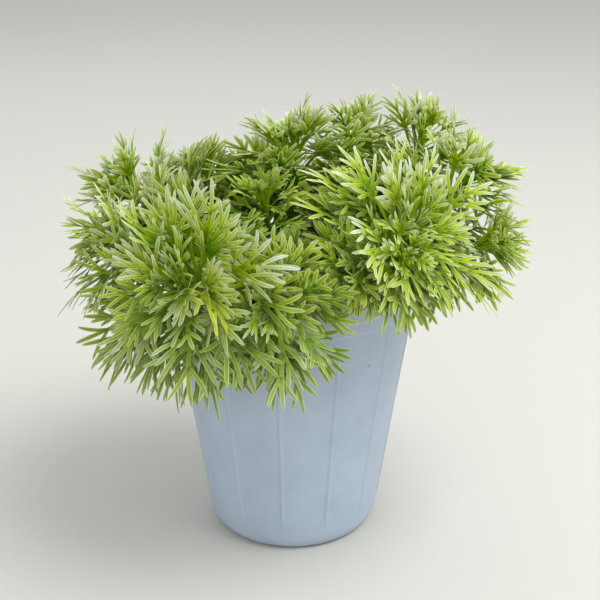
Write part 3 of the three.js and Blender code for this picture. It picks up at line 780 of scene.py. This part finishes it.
def crumb_kinds():
    """A few lumps of broken outline, a unit across, for the tree to scatter."""
    shelf = new_shelf("crumb_kinds")
    for number in range(CRUMB_KINDS):
        chance = random.Random(SEED + number)
        bpy.ops.mesh.primitive_ico_sphere_add(subdivisions=2, radius=0.5)
        lump = bpy.context.object
        lump.name = f"crumb_{number}"
        stretch = Vector([chance.uniform(*CRUMB_STRETCH) for _ in range(3)])
        for vertex in lump.data.vertices:
            vertex.co = vertex.co * stretch * chance.uniform(*CRUMB_DENTS)
        for home in list(lump.users_collection):
            home.objects.unlink(lump)
        shelf.objects.link(lump)
    return shelf


def soil_tree():
    """Scatters crumbs and pale grains over the soil's top."""
    tree, known = new_tree("soil_crumb", [
        ("Crumb kinds", "Collection"),
        ("Crumbs per square metre", "Float"),
        ("Grains per square metre", "Float"),
        ("Crumb size", "Float", CRUMB_SIZE),
        ("Seed", "Int", SEED),
        ("Peat", "Material"),
        ("Grain", "Material"),
    ])
    ground = known["Geometry"]
    kinds = add(tree, "GeometryNodeCollectionInfo", {
        "Collection": known["Crumb kinds"], "Separate Children": True, "Reset Children": True,
    }).outputs[0]
    for name, kind in (("z", "GeometryNodeInputPosition"), ("up", "GeometryNodeInputNormal")):
        known[name] = add(tree, "ShaderNodeSeparateXYZ", {0: add(tree, kind).outputs[0]}).outputs["Z"]
    # Only on the level top, so that no lump stands out of the pot's wall
    work_out(tree, known, [
        ("high", "GREATER_THAN", "z", SOIL_TOP - 3 * MM),
        ("level", "GREATER_THAN", "up", 0.8),
        ("top", "MULTIPLY", "high", "level"),
    ])
    peat_ground = add(tree, "GeometryNodeSetMaterial", {"Geometry": ground, "Material": known["Peat"]})
    layers = [peat_ground.outputs[0]]
    for density, material, small, large, seed_step in (
        ("Crumbs per square metre", "Peat", 0.35, 1.3, 0.0),
        ("Grains per square metre", "Grain", 0.4, 1.0, 10.0),
    ):
        seed = work_out(tree, known, [("seed", "ADD", "Seed", seed_step)])["seed"]
        spots = add(tree, "GeometryNodeDistributePointsOnFaces", {
            "Mesh": ground, "Selection": known["top"], "Density": known[density], "Seed": seed,
        }).outputs["Points"]
        sizes = {2: small, 3: large, "Seed": seed}
        known["size"] = add(tree, "FunctionNodeRandomValue", sizes, data_type="FLOAT").outputs[1]
        work_out(tree, known, [("scale", "MULTIPLY", "size", "Crumb size")])
        turns = {1: CRUMB_TURNS, "Seed": seed}
        turn = add(tree, "FunctionNodeRandomValue", turns, data_type="FLOAT_VECTOR").outputs[0]
        lumps = add(tree, "GeometryNodeInstanceOnPoints", {
            "Points": spots, "Instance": kinds, "Pick Instance": True, "Scale": known["scale"],
            "Rotation": turn,
        }).outputs[0]
        solid = add(tree, "GeometryNodeRealizeInstances", {0: lumps}).outputs[0]
        coated = add(tree, "GeometryNodeSetMaterial", {"Geometry": solid, "Material": known[material]})
        layers.append(coated.outputs[0])
    joined = add(tree, "GeometryNodeJoinGeometry")
    for layer in layers:
        tree.links.new(layer, joined.inputs[0])
    add(tree, "NodeGroupOutput", {0: joined.outputs[0]})
    return tree


def make_soil(peat, grain):
    """The block of soil that fills the pot, with an uneven top and its crumbs."""
    edge = bore_radius(SOIL_TOP) - SOIL_WALL_GAP
    shoulder = FOOT_EDGE_HEIGHT + MM
    floor = FLOOR_TOP + SOIL_WALL_GAP
    profile = [
        (0, floor), (FLOOR_RADIUS - 2 * SOIL_WALL_GAP, floor),
        (bore_radius(shoulder) - SOIL_WALL_GAP, shoulder),
        *((edge * i / SOIL_RINGS, SOIL_TOP) for i in range(SOIL_RINGS, -1, -1)),
    ]
    mesh = lathe("soil_block", profile, [2 * math.pi * i / SOIL_COLUMNS for i in range(SOIL_COLUMNS)])
    for vertex in mesh.vertices:
        if vertex.co.z > SOIL_TOP - MM:
            vertex.co.z = soil_height(vertex.co.x, vertex.co.y)
    shelf = crumb_kinds()
    top_area = math.pi * edge ** 2
    soil = grow(link("soil_block", mesh), soil_tree(), {
        "Crumb kinds": shelf, "Crumbs per square metre": CRUMBS / top_area,
        "Grains per square metre": PALE_GRAINS / top_area, "Peat": peat, "Grain": grain,
    }, "potting_soil")
    clear_shelf(shelf)
    return soil


# Leaf kinds

def lobe_width(share):
    """A lobe is strap-shaped: a little narrower at its foot, widest past its middle, with a blunt point."""
    if share < LOBE_WIDEST:
        return lerp(LOBE_FOOT_WIDTH, 1, share / LOBE_WIDEST)
    return (1 - ((share - LOBE_WIDEST) / (1 - LOBE_WIDEST)) ** 2) ** 0.5


LOBE_WIDTHS = [lobe_width(share) for share in LOBE_SHARES]


class Lobe:
    """A lobe's centre line: a gently curved line on the leaf that also lifts off it."""

    def __init__(self, start, slant, turn, length, lift):
        self.start, self.slant, self.turn, self.length, self.lift = start, slant, turn, length, lift

    def heading(self, share):
        return self.slant + self.turn * (share - STRAIGHT_AT)

    def at(self, share):
        x, y, z = self.start
        for i in range(CENTRE_LINE_STEPS):
            heading = self.heading((i + 0.5) / CENTRE_LINE_STEPS * share)
            x += share / CENTRE_LINE_STEPS * self.length * math.cos(heading)
            y += share / CENTRE_LINE_STEPS * self.length * math.sin(heading)
        return x, y, z + self.lift * share ** LIFT_POWER * self.length


def add_point(leaf, *values):
    for label, value in zip(("flat", "skin", "margin", "reach"), values):
        leaf[label].append(value)


def add_strap(leaf, lobe, shares, widths, reach, pointed=True):
    """Adds a closed strap of the grooved section along a lobe's centre line."""
    first = len(leaf["flat"])
    sides = len(LOBE_SECTION)
    for share, width in zip(shares, widths):
        point, heading = lobe.at(share), lobe.heading(share)
        for (across, off), margin in zip(LOBE_SECTION, LOBE_MARGIN):
            skin = (-math.sin(heading) * across * width, math.cos(heading) * across * width, off * width)
            add_point(leaf, point, skin, margin, lerp(*reach, share))
    last = first + (len(shares) - 1) * sides
    for low in range(first, last, sides):
        for i in range(sides):
            after = (i + 1) % sides
            leaf["faces"].append((low + i, low + after, low + sides + after, low + sides + i))
    leaf["faces"].append(tuple(first + i for i in reversed(range(sides))))
    if pointed:
        end = len(leaf["flat"])
        add_point(leaf, lobe.at(1), (0, 0, 0), 1, reach[1])
        leaf["faces"] += [(last + i, last + (i + 1) % sides, end) for i in range(sides)]
    else:
        leaf["faces"].append(tuple(last + i for i in range(sides)))


def add_segment(leaf, segment, side_lobes, splay, chance):
    """Adds a segment of a leaf: a lobe with smaller lobes from one or both of its sides."""
    end_reach = chance.uniform(*END_REACH)
    fork = chance.uniform(*SEGMENT_FORK)
    shares, widths = LOBE_SHARES, LOBE_WIDTHS
    if side_lobes:
        shares = (0, fork * SEGMENT_FOOT_END, *(lerp(fork, 1, share) for share in LOBE_SHARES))
        widths = (SEGMENT_FOOT_WIDTH, SEGMENT_FOOT_WIDTH, *LOBE_WIDTHS)
    add_strap(leaf, segment, shares, widths, (FORK_REACH, end_reach))
    hands = [(), (chance.choice((-1, 1)),), (-1, 1)][side_lobes]
    for hand in hands:
        share = fork * chance.uniform(*SIDE_FORK_CHANGE)
        slant = segment.heading(share) + hand * math.radians(chance.uniform(*SIDE_SLANT))
        turn = hand * splay * math.radians(chance.uniform(*SIDE_TURN))
        length = segment.length * (1 - share) * chance.uniform(*SIDE_LENGTH)
        lobe = Lobe(segment.at(share), slant, turn, length, segment.lift + chance.uniform(*SIDE_LIFT_CHANGE))
        widths = [SIDE_WIDTH * width for width in LOBE_WIDTHS]
        add_strap(leaf, lobe, LOBE_SHARES, widths, (SIDE_FOOT_REACH, end_reach))


def build_leaf(kind, chance):
    """A flat leaf: a narrow stalk that fans out into segments, which part again into strap-shaped lobes. Its
    points have their place on the centre line (flat, a leaf being one unit long), their way from there to
    the skin (in half widths), how near a margin they are and how far out on the leaf."""
    leaf = {"flat": [], "skin": [], "margin": [], "reach": [], "faces": []}
    fork = kind["fork"] + chance.uniform(*FORK_CHANGE)
    stalk = Lobe((0, 0, 0), 0, 0, fork + FORK_STEP, 0)
    add_strap(leaf, stalk, STALK_SHARES, STALK_WIDTHS, (0, FORK_REACH), pointed=False)
    for rank, (slant, length, side_lobes) in enumerate(kind["segments"]):
        for hand in (-1, 1) if slant else (1,):
            start = (fork + FORK_STEP * (1 - rank), 0, chance.uniform(*SEGMENT_OFF_FACE))
            heading = hand * math.radians(slant + chance.uniform(*SEGMENT_SLANT_CHANGE))
            turn = hand * kind["splay"] * math.radians(chance.uniform(*SEGMENT_TURN))
            lift = chance.uniform(*SEGMENT_LIFT)
            segment = Lobe(start, heading, turn, length * chance.uniform(*SEGMENT_LENGTH_CHANGE), lift)
            add_segment(leaf, segment, side_lobes, kind["splay"], chance)
    return leaf


def kind_of(leaf):
    """The first leaf kind that suits a leaf's age and length."""
    for kind in LEAF_KINDS:
        if leaf["age"] <= kind["until_age"] and leaf["length"] >= kind["from_length"] * MM:
            return kind


def leaf_kinds(material):
    """The flat leaves that the shoots are set with, in a collection in order of age."""
    shelf = new_shelf("leaf_kinds")
    for kind in LEAF_KINDS:
        kind["first"] = len(shelf.objects)
        for number in range(kind["first"], kind["first"] + kind["copies"]):
            leaf = build_leaf(kind, random.Random(SEED * 100 + number))
            faces = leaf.pop("faces")
            name = f"leaf_{number:02d}_{kind['name']}"
            mesh = make_mesh(name, leaf["flat"], faces, leaf)
            mesh.materials.append(material)
            shelf.objects.link(bpy.data.objects.new(name, mesh))
    return shelf


# Shoots

def crown_bases():
    """Where each stem leaves the soil: towards its rosette, and no nearer the next than its spacing."""
    bases = [shoot["heart"].xy * CROWN_SPREAD for shoot in SHOOTS]
    for _ in range(CROWN_ROUNDS):
        for i, base in enumerate(bases):
            for other in bases[i + 1:]:
                apart = other - base
                lack = CROWN_SPACING - apart.length
                if lack > 0:
                    apart = apart.normalized() * lack / 2
                    base -= apart
                    other += apart
    return bases


class StemCurve:
    """Upright out of the soil, clear of the rim, and then along the rosette's axis to its heart."""

    def __init__(self, base, heart, axis):
        root = Vector((base.x, base.y, SOIL_TOP))
        reach = (heart - root).length
        self.knots = [root, root + UP * STEM_RISE * reach, heart - axis * STEM_NECK * reach, heart]
        samples = [self.at(i / STEM_SAMPLES) for i in range(STEM_SAMPLES + 1)]
        lengths = [(b - a).length for a, b in zip(samples, samples[1:])]
        self.marks = np.concatenate([[0], np.cumsum(lengths)])
        self.length = float(self.marks[-1])

    def at(self, t):
        weights = ((1 - t) ** 3, 3 * t * (1 - t) ** 2, 3 * t * t * (1 - t), t ** 3)
        return sum((knot * weight for knot, weight in zip(self.knots, weights)), Vector())

    def place(self, share):
        """Point and direction at a share of the length."""
        t = float(np.interp(share * self.length, self.marks, np.linspace(0, 1, len(self.marks))))
        a, b = self.at(max(0, t - STEM_STEP)), self.at(min(1, t + STEM_STEP))
        return self.at(t), (b - a).normalized()


def bend_point(leaf, along, across):
    """Where a point of the flat leaf goes. The shoots' tree works out the same, with twist and sway."""
    angle = leaf["rise"] + leaf["bend"] * along / leaf["length"]
    scale = leaf["length"] / leaf["bend"]
    outward = scale * (math.cos(leaf["rise"]) - math.cos(angle))
    upward = scale * (math.sin(angle) - math.sin(leaf["rise"]))
    lift = CUP * across * across
    point = leaf["root"] + leaf["side"] * across + leaf["out"] * (outward - lift * math.cos(angle))
    point = point + leaf["axis"] * (upward + lift * math.sin(angle))
    point.z -= leaf["sag"] * leaf["length"] * (along / leaf["length"]) ** 2
    return point


def near_pot(point):
    """Whether a point is in the soil, or less than the clearance from the wall or the rim."""
    from_axis = math.hypot(point.x, point.y)
    outside = wall_radius(point.z) + RIB_HEIGHT + POT_CLEARANCE
    beside_wall = bore_radius(point.z) - POT_CLEARANCE < from_axis < outside
    in_soil = point.z < SOIL_TOP + POT_CLEARANCE and from_axis < RIM_RADIUS
    return (point.z < POT_HEIGHT + POT_CLEARANCE and beside_wall) or in_soil


def outside_box(point):
    """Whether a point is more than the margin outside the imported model's box."""
    low, high = CAD_LOW, CAD_HIGH
    return any(not low[i] - BOX_MARGIN < point[i] < high[i] + BOX_MARGIN for i in range(3))


def is_clear(leaf, lowest):
    """Whether a leaf clears the pot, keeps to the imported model's box and hangs no lower than it may."""
    length = leaf["length"]
    points = [bend_point(leaf, along * length, across * length) for along, across in LEAF_SPOTS]
    return all(point.z > lowest and not near_pot(point) and not outside_box(point) for point in points)


def lobe_girth(length, age):
    """Short leaves and young ones have narrower lobes."""
    return lerp(1, YOUNG_GIRTH, age ** 2) * min(1, length / FULL_GIRTH_LENGTH) ** SHORT_GIRTH_POWER


def leaf_rule(shoot, curve, number, rise_change):
    """One leaf's place and form; age runs from 0, the oldest, to 1, the youngest."""
    rosette = round(shoot["cad_leaves"] * LEAVES_PER_CAD_LEAF)
    low = number - rosette
    age = 0 if low >= 0 else (number + 0.5) / (rosette + 1)
    turn = number * GOLDEN_ANGLE + shoot["number"] * TURN_PER_SHOOT
    turn += TURN_SCATTER * (draw(shoot["number"], number) - 0.5)
    down = shoot["leafy"] * (1 - age) ** SPACING_POWER
    share = 1 - down / curve.length
    if low >= 0:
        share = lerp(share, LOW_LEAVES_DOWN_TO, (low + 1) / LOW_LEAVES)
    root, axis = curve.place(share)
    side = axis.cross(UP if abs(axis.z) < NEARLY_UPRIGHT else BACK).normalized()
    side.rotate(Quaternion(axis, turn))
    upright = shoot["axis"].z > UPRIGHT_FROM
    closed = age ** (UPRIGHT_OPENING_POWER if upright else OPENING_POWER)
    youth = 1 - YOUNG_SHORTENING * age ** SHORTENING_POWER
    length = shoot["longest"] * youth * (1 + LENGTH_SCATTER * (draw(number, shoot["number"]) - 0.5))
    rise = LOW_LEAF_RISE if low >= 0 else lerp(OLD_RISE, YOUNG_RISE, closed)
    rise += RISE_SCATTER * (draw(number + 3, shoot["number"] + 5) - 0.5)
    return {
        "root": root, "axis": axis, "side": side, "out": side.cross(axis),
        "length": length, "age": age, "girth": lobe_girth(length, age) * (UPRIGHT_GIRTH if upright else 1),
        "rise": rise + rise_change, "bend": lerp(OLD_BEND, YOUNG_BEND, closed), "sag": OLD_SAG * (1 - age),
        "low": max(0, low + 1) / LOW_LEAVES, "yellow": 0,
    }


def lone_leaf(curve, share, tip, bend, yellow=0):
    """An old leaf from its place on the stem to where its tip is, bending downwards on the way."""
    root = curve.place(share)[0]
    tip, bend = Vector(tip) * MM, math.radians(bend)
    ahead = (tip - root).normalized()
    down = (ahead * ahead.z - UP).normalized()
    start = ahead * math.cos(bend / 2) - down * math.sin(bend / 2)
    out = ahead * math.sin(bend / 2) + down * math.cos(bend / 2)
    length = (tip - root).length * (bend / 2) / math.sin(bend / 2)
    return {
        "root": root, "axis": start, "side": start.cross(out), "out": out, "length": length, "age": yellow,
        "girth": lobe_girth(length, yellow), "rise": 0, "bend": bend, "sag": 0, "low": 0, "yellow": yellow,
    }


def shoot_leaves(shoot, curve):
    """Every leaf of a shoot that is clear, tried at other rises where it first isn't, and its lone leaves."""
    leaves = []
    for number in range(round(shoot["cad_leaves"] * LEAVES_PER_CAD_LEAF) + LOW_LEAVES):
        for rise_change in RISES_TRIED:
            leaf = leaf_rule(shoot, curve, number, math.radians(rise_change))
            if is_clear(leaf, shoot["lowest"]):
                leaves.append(leaf)
                break
    leaves += [lone_leaf(curve, *row) for row in LONE_LEAVES.get(shoot["name"], ())]
    for number, leaf in enumerate(leaves):
        kind = kind_of(leaf)
        leaf["kind"] = kind["first"] + int(draw(number + 11, shoot["number"] + 7) * kind["copies"])
    return leaves


def shoot_tree():
    """Sets flat leaves on the stations of a shoot, bends each by the leaf rule, and adds the stem."""
    tree, known = new_tree("leafy_shoot", [
        ("Stem", "Object"),
        ("Leaf kinds", "Collection"),
        ("Cup", "Float", CUP),
        ("Lobe half width", "Float", LOBE_HALF_WIDTH),
        ("Sway", "Float", SWAY),
        ("Twist", "Float", TWIST),
        ("Stem radius", "Float", STEM_RADIUS),
        ("Stem tip radius", "Float", STEM_TIP_RADIUS),
        ("Seed", "Int"),
        ("Material", "Material"),
    ])
    stations = known["Geometry"]
    for name, low, seed_step in (("tint", 0.0, 0.0), ("sway", -1.0, 100.0), ("twist", -1.0, 200.0)):
        seed = work_out(tree, known, [("seed", "ADD", "Seed", seed_step)])["seed"]
        chance = add(tree, "FunctionNodeRandomValue", {2: low, 3: 1.0, "Seed": seed}, data_type="FLOAT")
        stations = add(tree, "GeometryNodeStoreNamedAttribute", {
            "Geometry": stations, "Name": name, "Value": chance.outputs[1],
        }, data_type="FLOAT", domain="POINT").outputs[0]
    kinds = add(tree, "GeometryNodeCollectionInfo", {
        "Collection": known["Leaf kinds"], "Separate Children": True, "Reset Children": True,
    }).outputs[0]
    for data_type, names in (
        ("INT", ("kind",)),
        ("FLOAT", ("length", "rise", "bend", "sag", "girth", "sway", "twist")),
        ("FLOAT_VECTOR", ("flat", "skin", "root", "side", "out", "axis")),
    ):
        for name in names:
            stored = add(tree, "GeometryNodeInputNamedAttribute", {"Name": name}, data_type=data_type)
            known[name] = stored.outputs[0]
    set_out = add(tree, "GeometryNodeInstanceOnPoints", {
        "Points": stations, "Instance": kinds, "Pick Instance": True, "Instance Index": known["kind"],
    }).outputs[0]
    leaves = add(tree, "GeometryNodeRealizeInstances", {0: set_out}).outputs[0]
    for name in ("flat", "skin"):
        ways = add(tree, "ShaderNodeSeparateXYZ", {0: known[name]}).outputs
        known.update({f"{name}_along": ways["X"], f"{name}_across": ways["Y"], f"{name}_off": ways["Z"]})
    work_out(tree, known, [
        ("thick", "MULTIPLY", "Lobe half width", "girth"),
        ("thick_share", "DIVIDE", "thick", "length"),
        ("along", "MULTIPLY_ADD", "skin_along", "thick_share", "flat_along"),
        ("wide", "MULTIPLY_ADD", "skin_across", "thick_share", "flat_across"),
        ("high", "MULTIPLY_ADD", "skin_off", "thick_share", "flat_off"),
        ("twist_by", "MULTIPLY", "twist", "Twist"),
        ("twisted", "MULTIPLY", "twist_by", "along"),
        ("cos_twist", "COSINE", "twisted"),
        ("sin_twist", "SINE", "twisted"),
        ("wide_cos", "MULTIPLY", "wide", "cos_twist"),
        ("high_sin", "MULTIPLY", "high", "sin_twist"),
        ("wide_sin", "MULTIPLY", "wide", "sin_twist"),
        ("level", "SUBTRACT", "wide_cos", "high_sin"),
        ("raised", "MULTIPLY_ADD", "high", "cos_twist", "wide_sin"),
        ("sway_by", "MULTIPLY", "sway", "Sway"),
        ("swept", "MULTIPLY", "sway_by", "along"),
        ("swayed", "MULTIPLY_ADD", "swept", "along", "level"),
        ("across", "MULTIPLY", "swayed", "length"),
        ("off", "MULTIPLY", "raised", "length"),
        ("angle", "MULTIPLY_ADD", "bend", "along", "rise"),
        ("scale", "DIVIDE", "length", "bend"),
        ("cos_rise", "COSINE", "rise"),
        ("sin_rise", "SINE", "rise"),
        ("cos_angle", "COSINE", "angle"),
        ("sin_angle", "SINE", "angle"),
        ("fallen", "SUBTRACT", "cos_rise", "cos_angle"),
        ("risen", "SUBTRACT", "sin_angle", "sin_rise"),
        ("outward", "MULTIPLY", "scale", "fallen"),
        ("upward", "MULTIPLY", "scale", "risen"),
        ("across2", "MULTIPLY", "across", "across"),
        ("lift", "MULTIPLY_ADD", "across2", "Cup", "off"),
        ("lift_back", "MULTIPLY", "lift", "cos_angle"),
        ("out_by", "SUBTRACT", "outward", "lift_back"),
        ("axis_by", "MULTIPLY_ADD", "lift", "sin_angle", "upward"),
        ("along2", "MULTIPLY", "along", "along"),
        ("drop", "MULTIPLY", "sag", "length"),
        ("down_by", "MULTIPLY", "drop", "along2"),
        ("fall", "MULTIPLY", "down_by", -1.0),
    ])
    place = known["root"]
    for name, amount in (("side", "across"), ("out", "out_by"), ("axis", "axis_by")):
        amounts = add(tree, "ShaderNodeCombineXYZ", {axis: known[amount] for axis in "XYZ"}).outputs[0]
        moved = {0: known[name], 1: amounts, 2: place}
        place = add(tree, "ShaderNodeVectorMath", moved, operation="MULTIPLY_ADD").outputs[0]
    fall = add(tree, "ShaderNodeCombineXYZ", {"Z": known["fall"]}).outputs[0]
    bent = add(tree, "GeometryNodeSetPosition", {
        "Geometry": leaves, "Position": place, "Offset": fall,
    }).outputs[0]
    line = add(tree, "GeometryNodeObjectInfo", {"Object": known["Stem"]}).outputs["Geometry"]
    known["share"] = add(tree, "GeometryNodeSplineParameter").outputs["Factor"]
    work_out(tree, known, [("radius", "LINEAR", "share", 0.0, 1.0, "Stem radius", "Stem tip radius")])
    tapered = add(tree, "GeometryNodeSetCurveRadius", {"Curve": line, "Radius": known["radius"]}).outputs[0]
    section = add(tree, "GeometryNodeCurvePrimitiveCircle", {"Resolution": STEM_SIDES, "Radius": 1.0})
    stem = add(tree, "GeometryNodeCurveToMesh", {
        "Curve": tapered, "Profile Curve": section.outputs[0], "Fill Caps": True,
        "Scale": add(tree, "GeometryNodeInputRadius").outputs[0],
    })
    both = add(tree, "GeometryNodeJoinGeometry")
    tree.links.new(bent, both.inputs[0])
    tree.links.new(stem.outputs[0], both.inputs[0])
    finished = add(tree, "GeometryNodeSetMaterial", {
        "Geometry": both.outputs[0], "Material": known["Material"],
    })
    add(tree, "NodeGroupOutput", {0: finished.outputs[0]})
    return tree


def stem_line(name, curve):
    """The stem's centre line as a curve object, from the bottom of its hole to the rosette's heart."""
    root = curve.at(0)
    points = [root - UP * STEM_BURIED, root - UP * STEM_BURIED / 2]
    points += [curve.place(i / STEM_PIECES)[0] for i in range(STEM_PIECES + 1)]
    data = bpy.data.curves.new(name, "CURVE")
    data.dimensions = "3D"
    spline = data.splines.new("POLY")
    spline.points.add(len(points) - 1)
    for knot, point in zip(spline.points, points):
        knot.co = (*point, 1)
    return link(name, data)


def make_shoot(shoot, base, tree, kinds, material):
    """One leafy shoot: points where its leaves grow, for the tree to set and bend the leaves on."""
    curve = StemCurve(base, shoot["heart"], shoot["axis"])
    leaves = shoot_leaves(shoot, curve)
    labels = ("root", "side", "out", "axis", "length", "rise", "bend", "sag", "age", "girth", "low", "yellow")
    attributes = {label: [leaf[label] for leaf in leaves] for label in labels}
    mesh = make_mesh(shoot["name"], attributes["root"], [], attributes)
    picked = mesh.attributes.new("kind", "INT", "POINT")
    picked.data.foreach_set("value", [leaf["kind"] for leaf in leaves])
    stem = stem_line(f"{shoot['name']}_stem", curve)
    piece = grow(link(shoot["name"], mesh), tree, {
        "Stem": stem, "Leaf kinds": kinds, "Seed": SEED + shoot["number"], "Material": material,
    }, f"leafy_{shoot['name']}")
    piece.data.set_sharp_from_angle(angle=MARGIN_ANGLE)
    bpy.data.objects.remove(stem)
    return piece


# Studio

def make_studio():
    """The photograph's camera, a pale floor, an even sky and three soft lights."""
    scene = bpy.context.scene
    camera = link("camera", bpy.data.cameras.new("camera"))
    camera.location = CAMERA_PLACE
    camera.rotation_euler = (math.pi / 2 - CAMERA_PITCH, 0, 0)
    camera.data.lens = CAMERA_LENS
    camera.data.sensor_width = SENSOR_WIDTH
    camera.data.clip_start = 0.01
    camera.data.clip_end = 20
    scene.camera = camera

    corners = [(FLOOR_REACH * x, FLOOR_REACH * y, 0) for x, y in ((-1, -1), (1, -1), (1, 1), (-1, 1))]
    floor = link("floor", make_mesh("floor", corners, [(0, 1, 2, 3)]))
    material, tree = new_material("pale_floor")
    show(tree, add(tree, "ShaderNodeBsdfPrincipled", {"Base Color": linear("#c6c5bf"), "Roughness": 0.7}))
    floor.data.materials.append(material)

    world = bpy.data.worlds.new("studio")
    scene.world = world
    world.use_nodes = True
    sky = world.node_tree.nodes["Background"]
    sky.inputs["Color"].default_value = linear("#e5e6e6")
    sky.inputs["Strength"].default_value = WORLD_STRENGTH

    for name, (place, size, power) in LIGHTS.items():
        data = bpy.data.lights.new(name, "AREA")
        data.size = size
        data.energy = power
        lamp = link(name, data)
        lamp.location = place
        lamp.rotation_euler = (LIGHTS_AIM - Vector(place)).to_track_quat("-Z", "Y").to_euler()

    scene.view_settings.view_transform = "Standard"


# The whole plant in its pot

def dress(piece, node):
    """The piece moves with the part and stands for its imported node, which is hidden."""
    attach(piece, "root")
    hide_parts(node)


make_studio()
leaf_material = make_leaf_material()
dress(make_pot(make_pot_material()), "pot")
peat = make_soil_material("peat_mix", "#1d140d", "#4a3524", 0.9, 0.95)
grain = make_soil_material("expanded_mineral", "#b9b3a4", "#e6e1d4", 1.5, 0.9)
dress(make_soil(peat, grain), "soil")

kinds = leaf_kinds(leaf_material)
tree = shoot_tree()
for shoot, base in zip(SHOOTS, crown_bases()):
    piece = make_shoot(shoot, base, tree, kinds, leaf_material)
    dress(piece, f"shoot_{shoot['name']}")
clear_shelf(kinds)
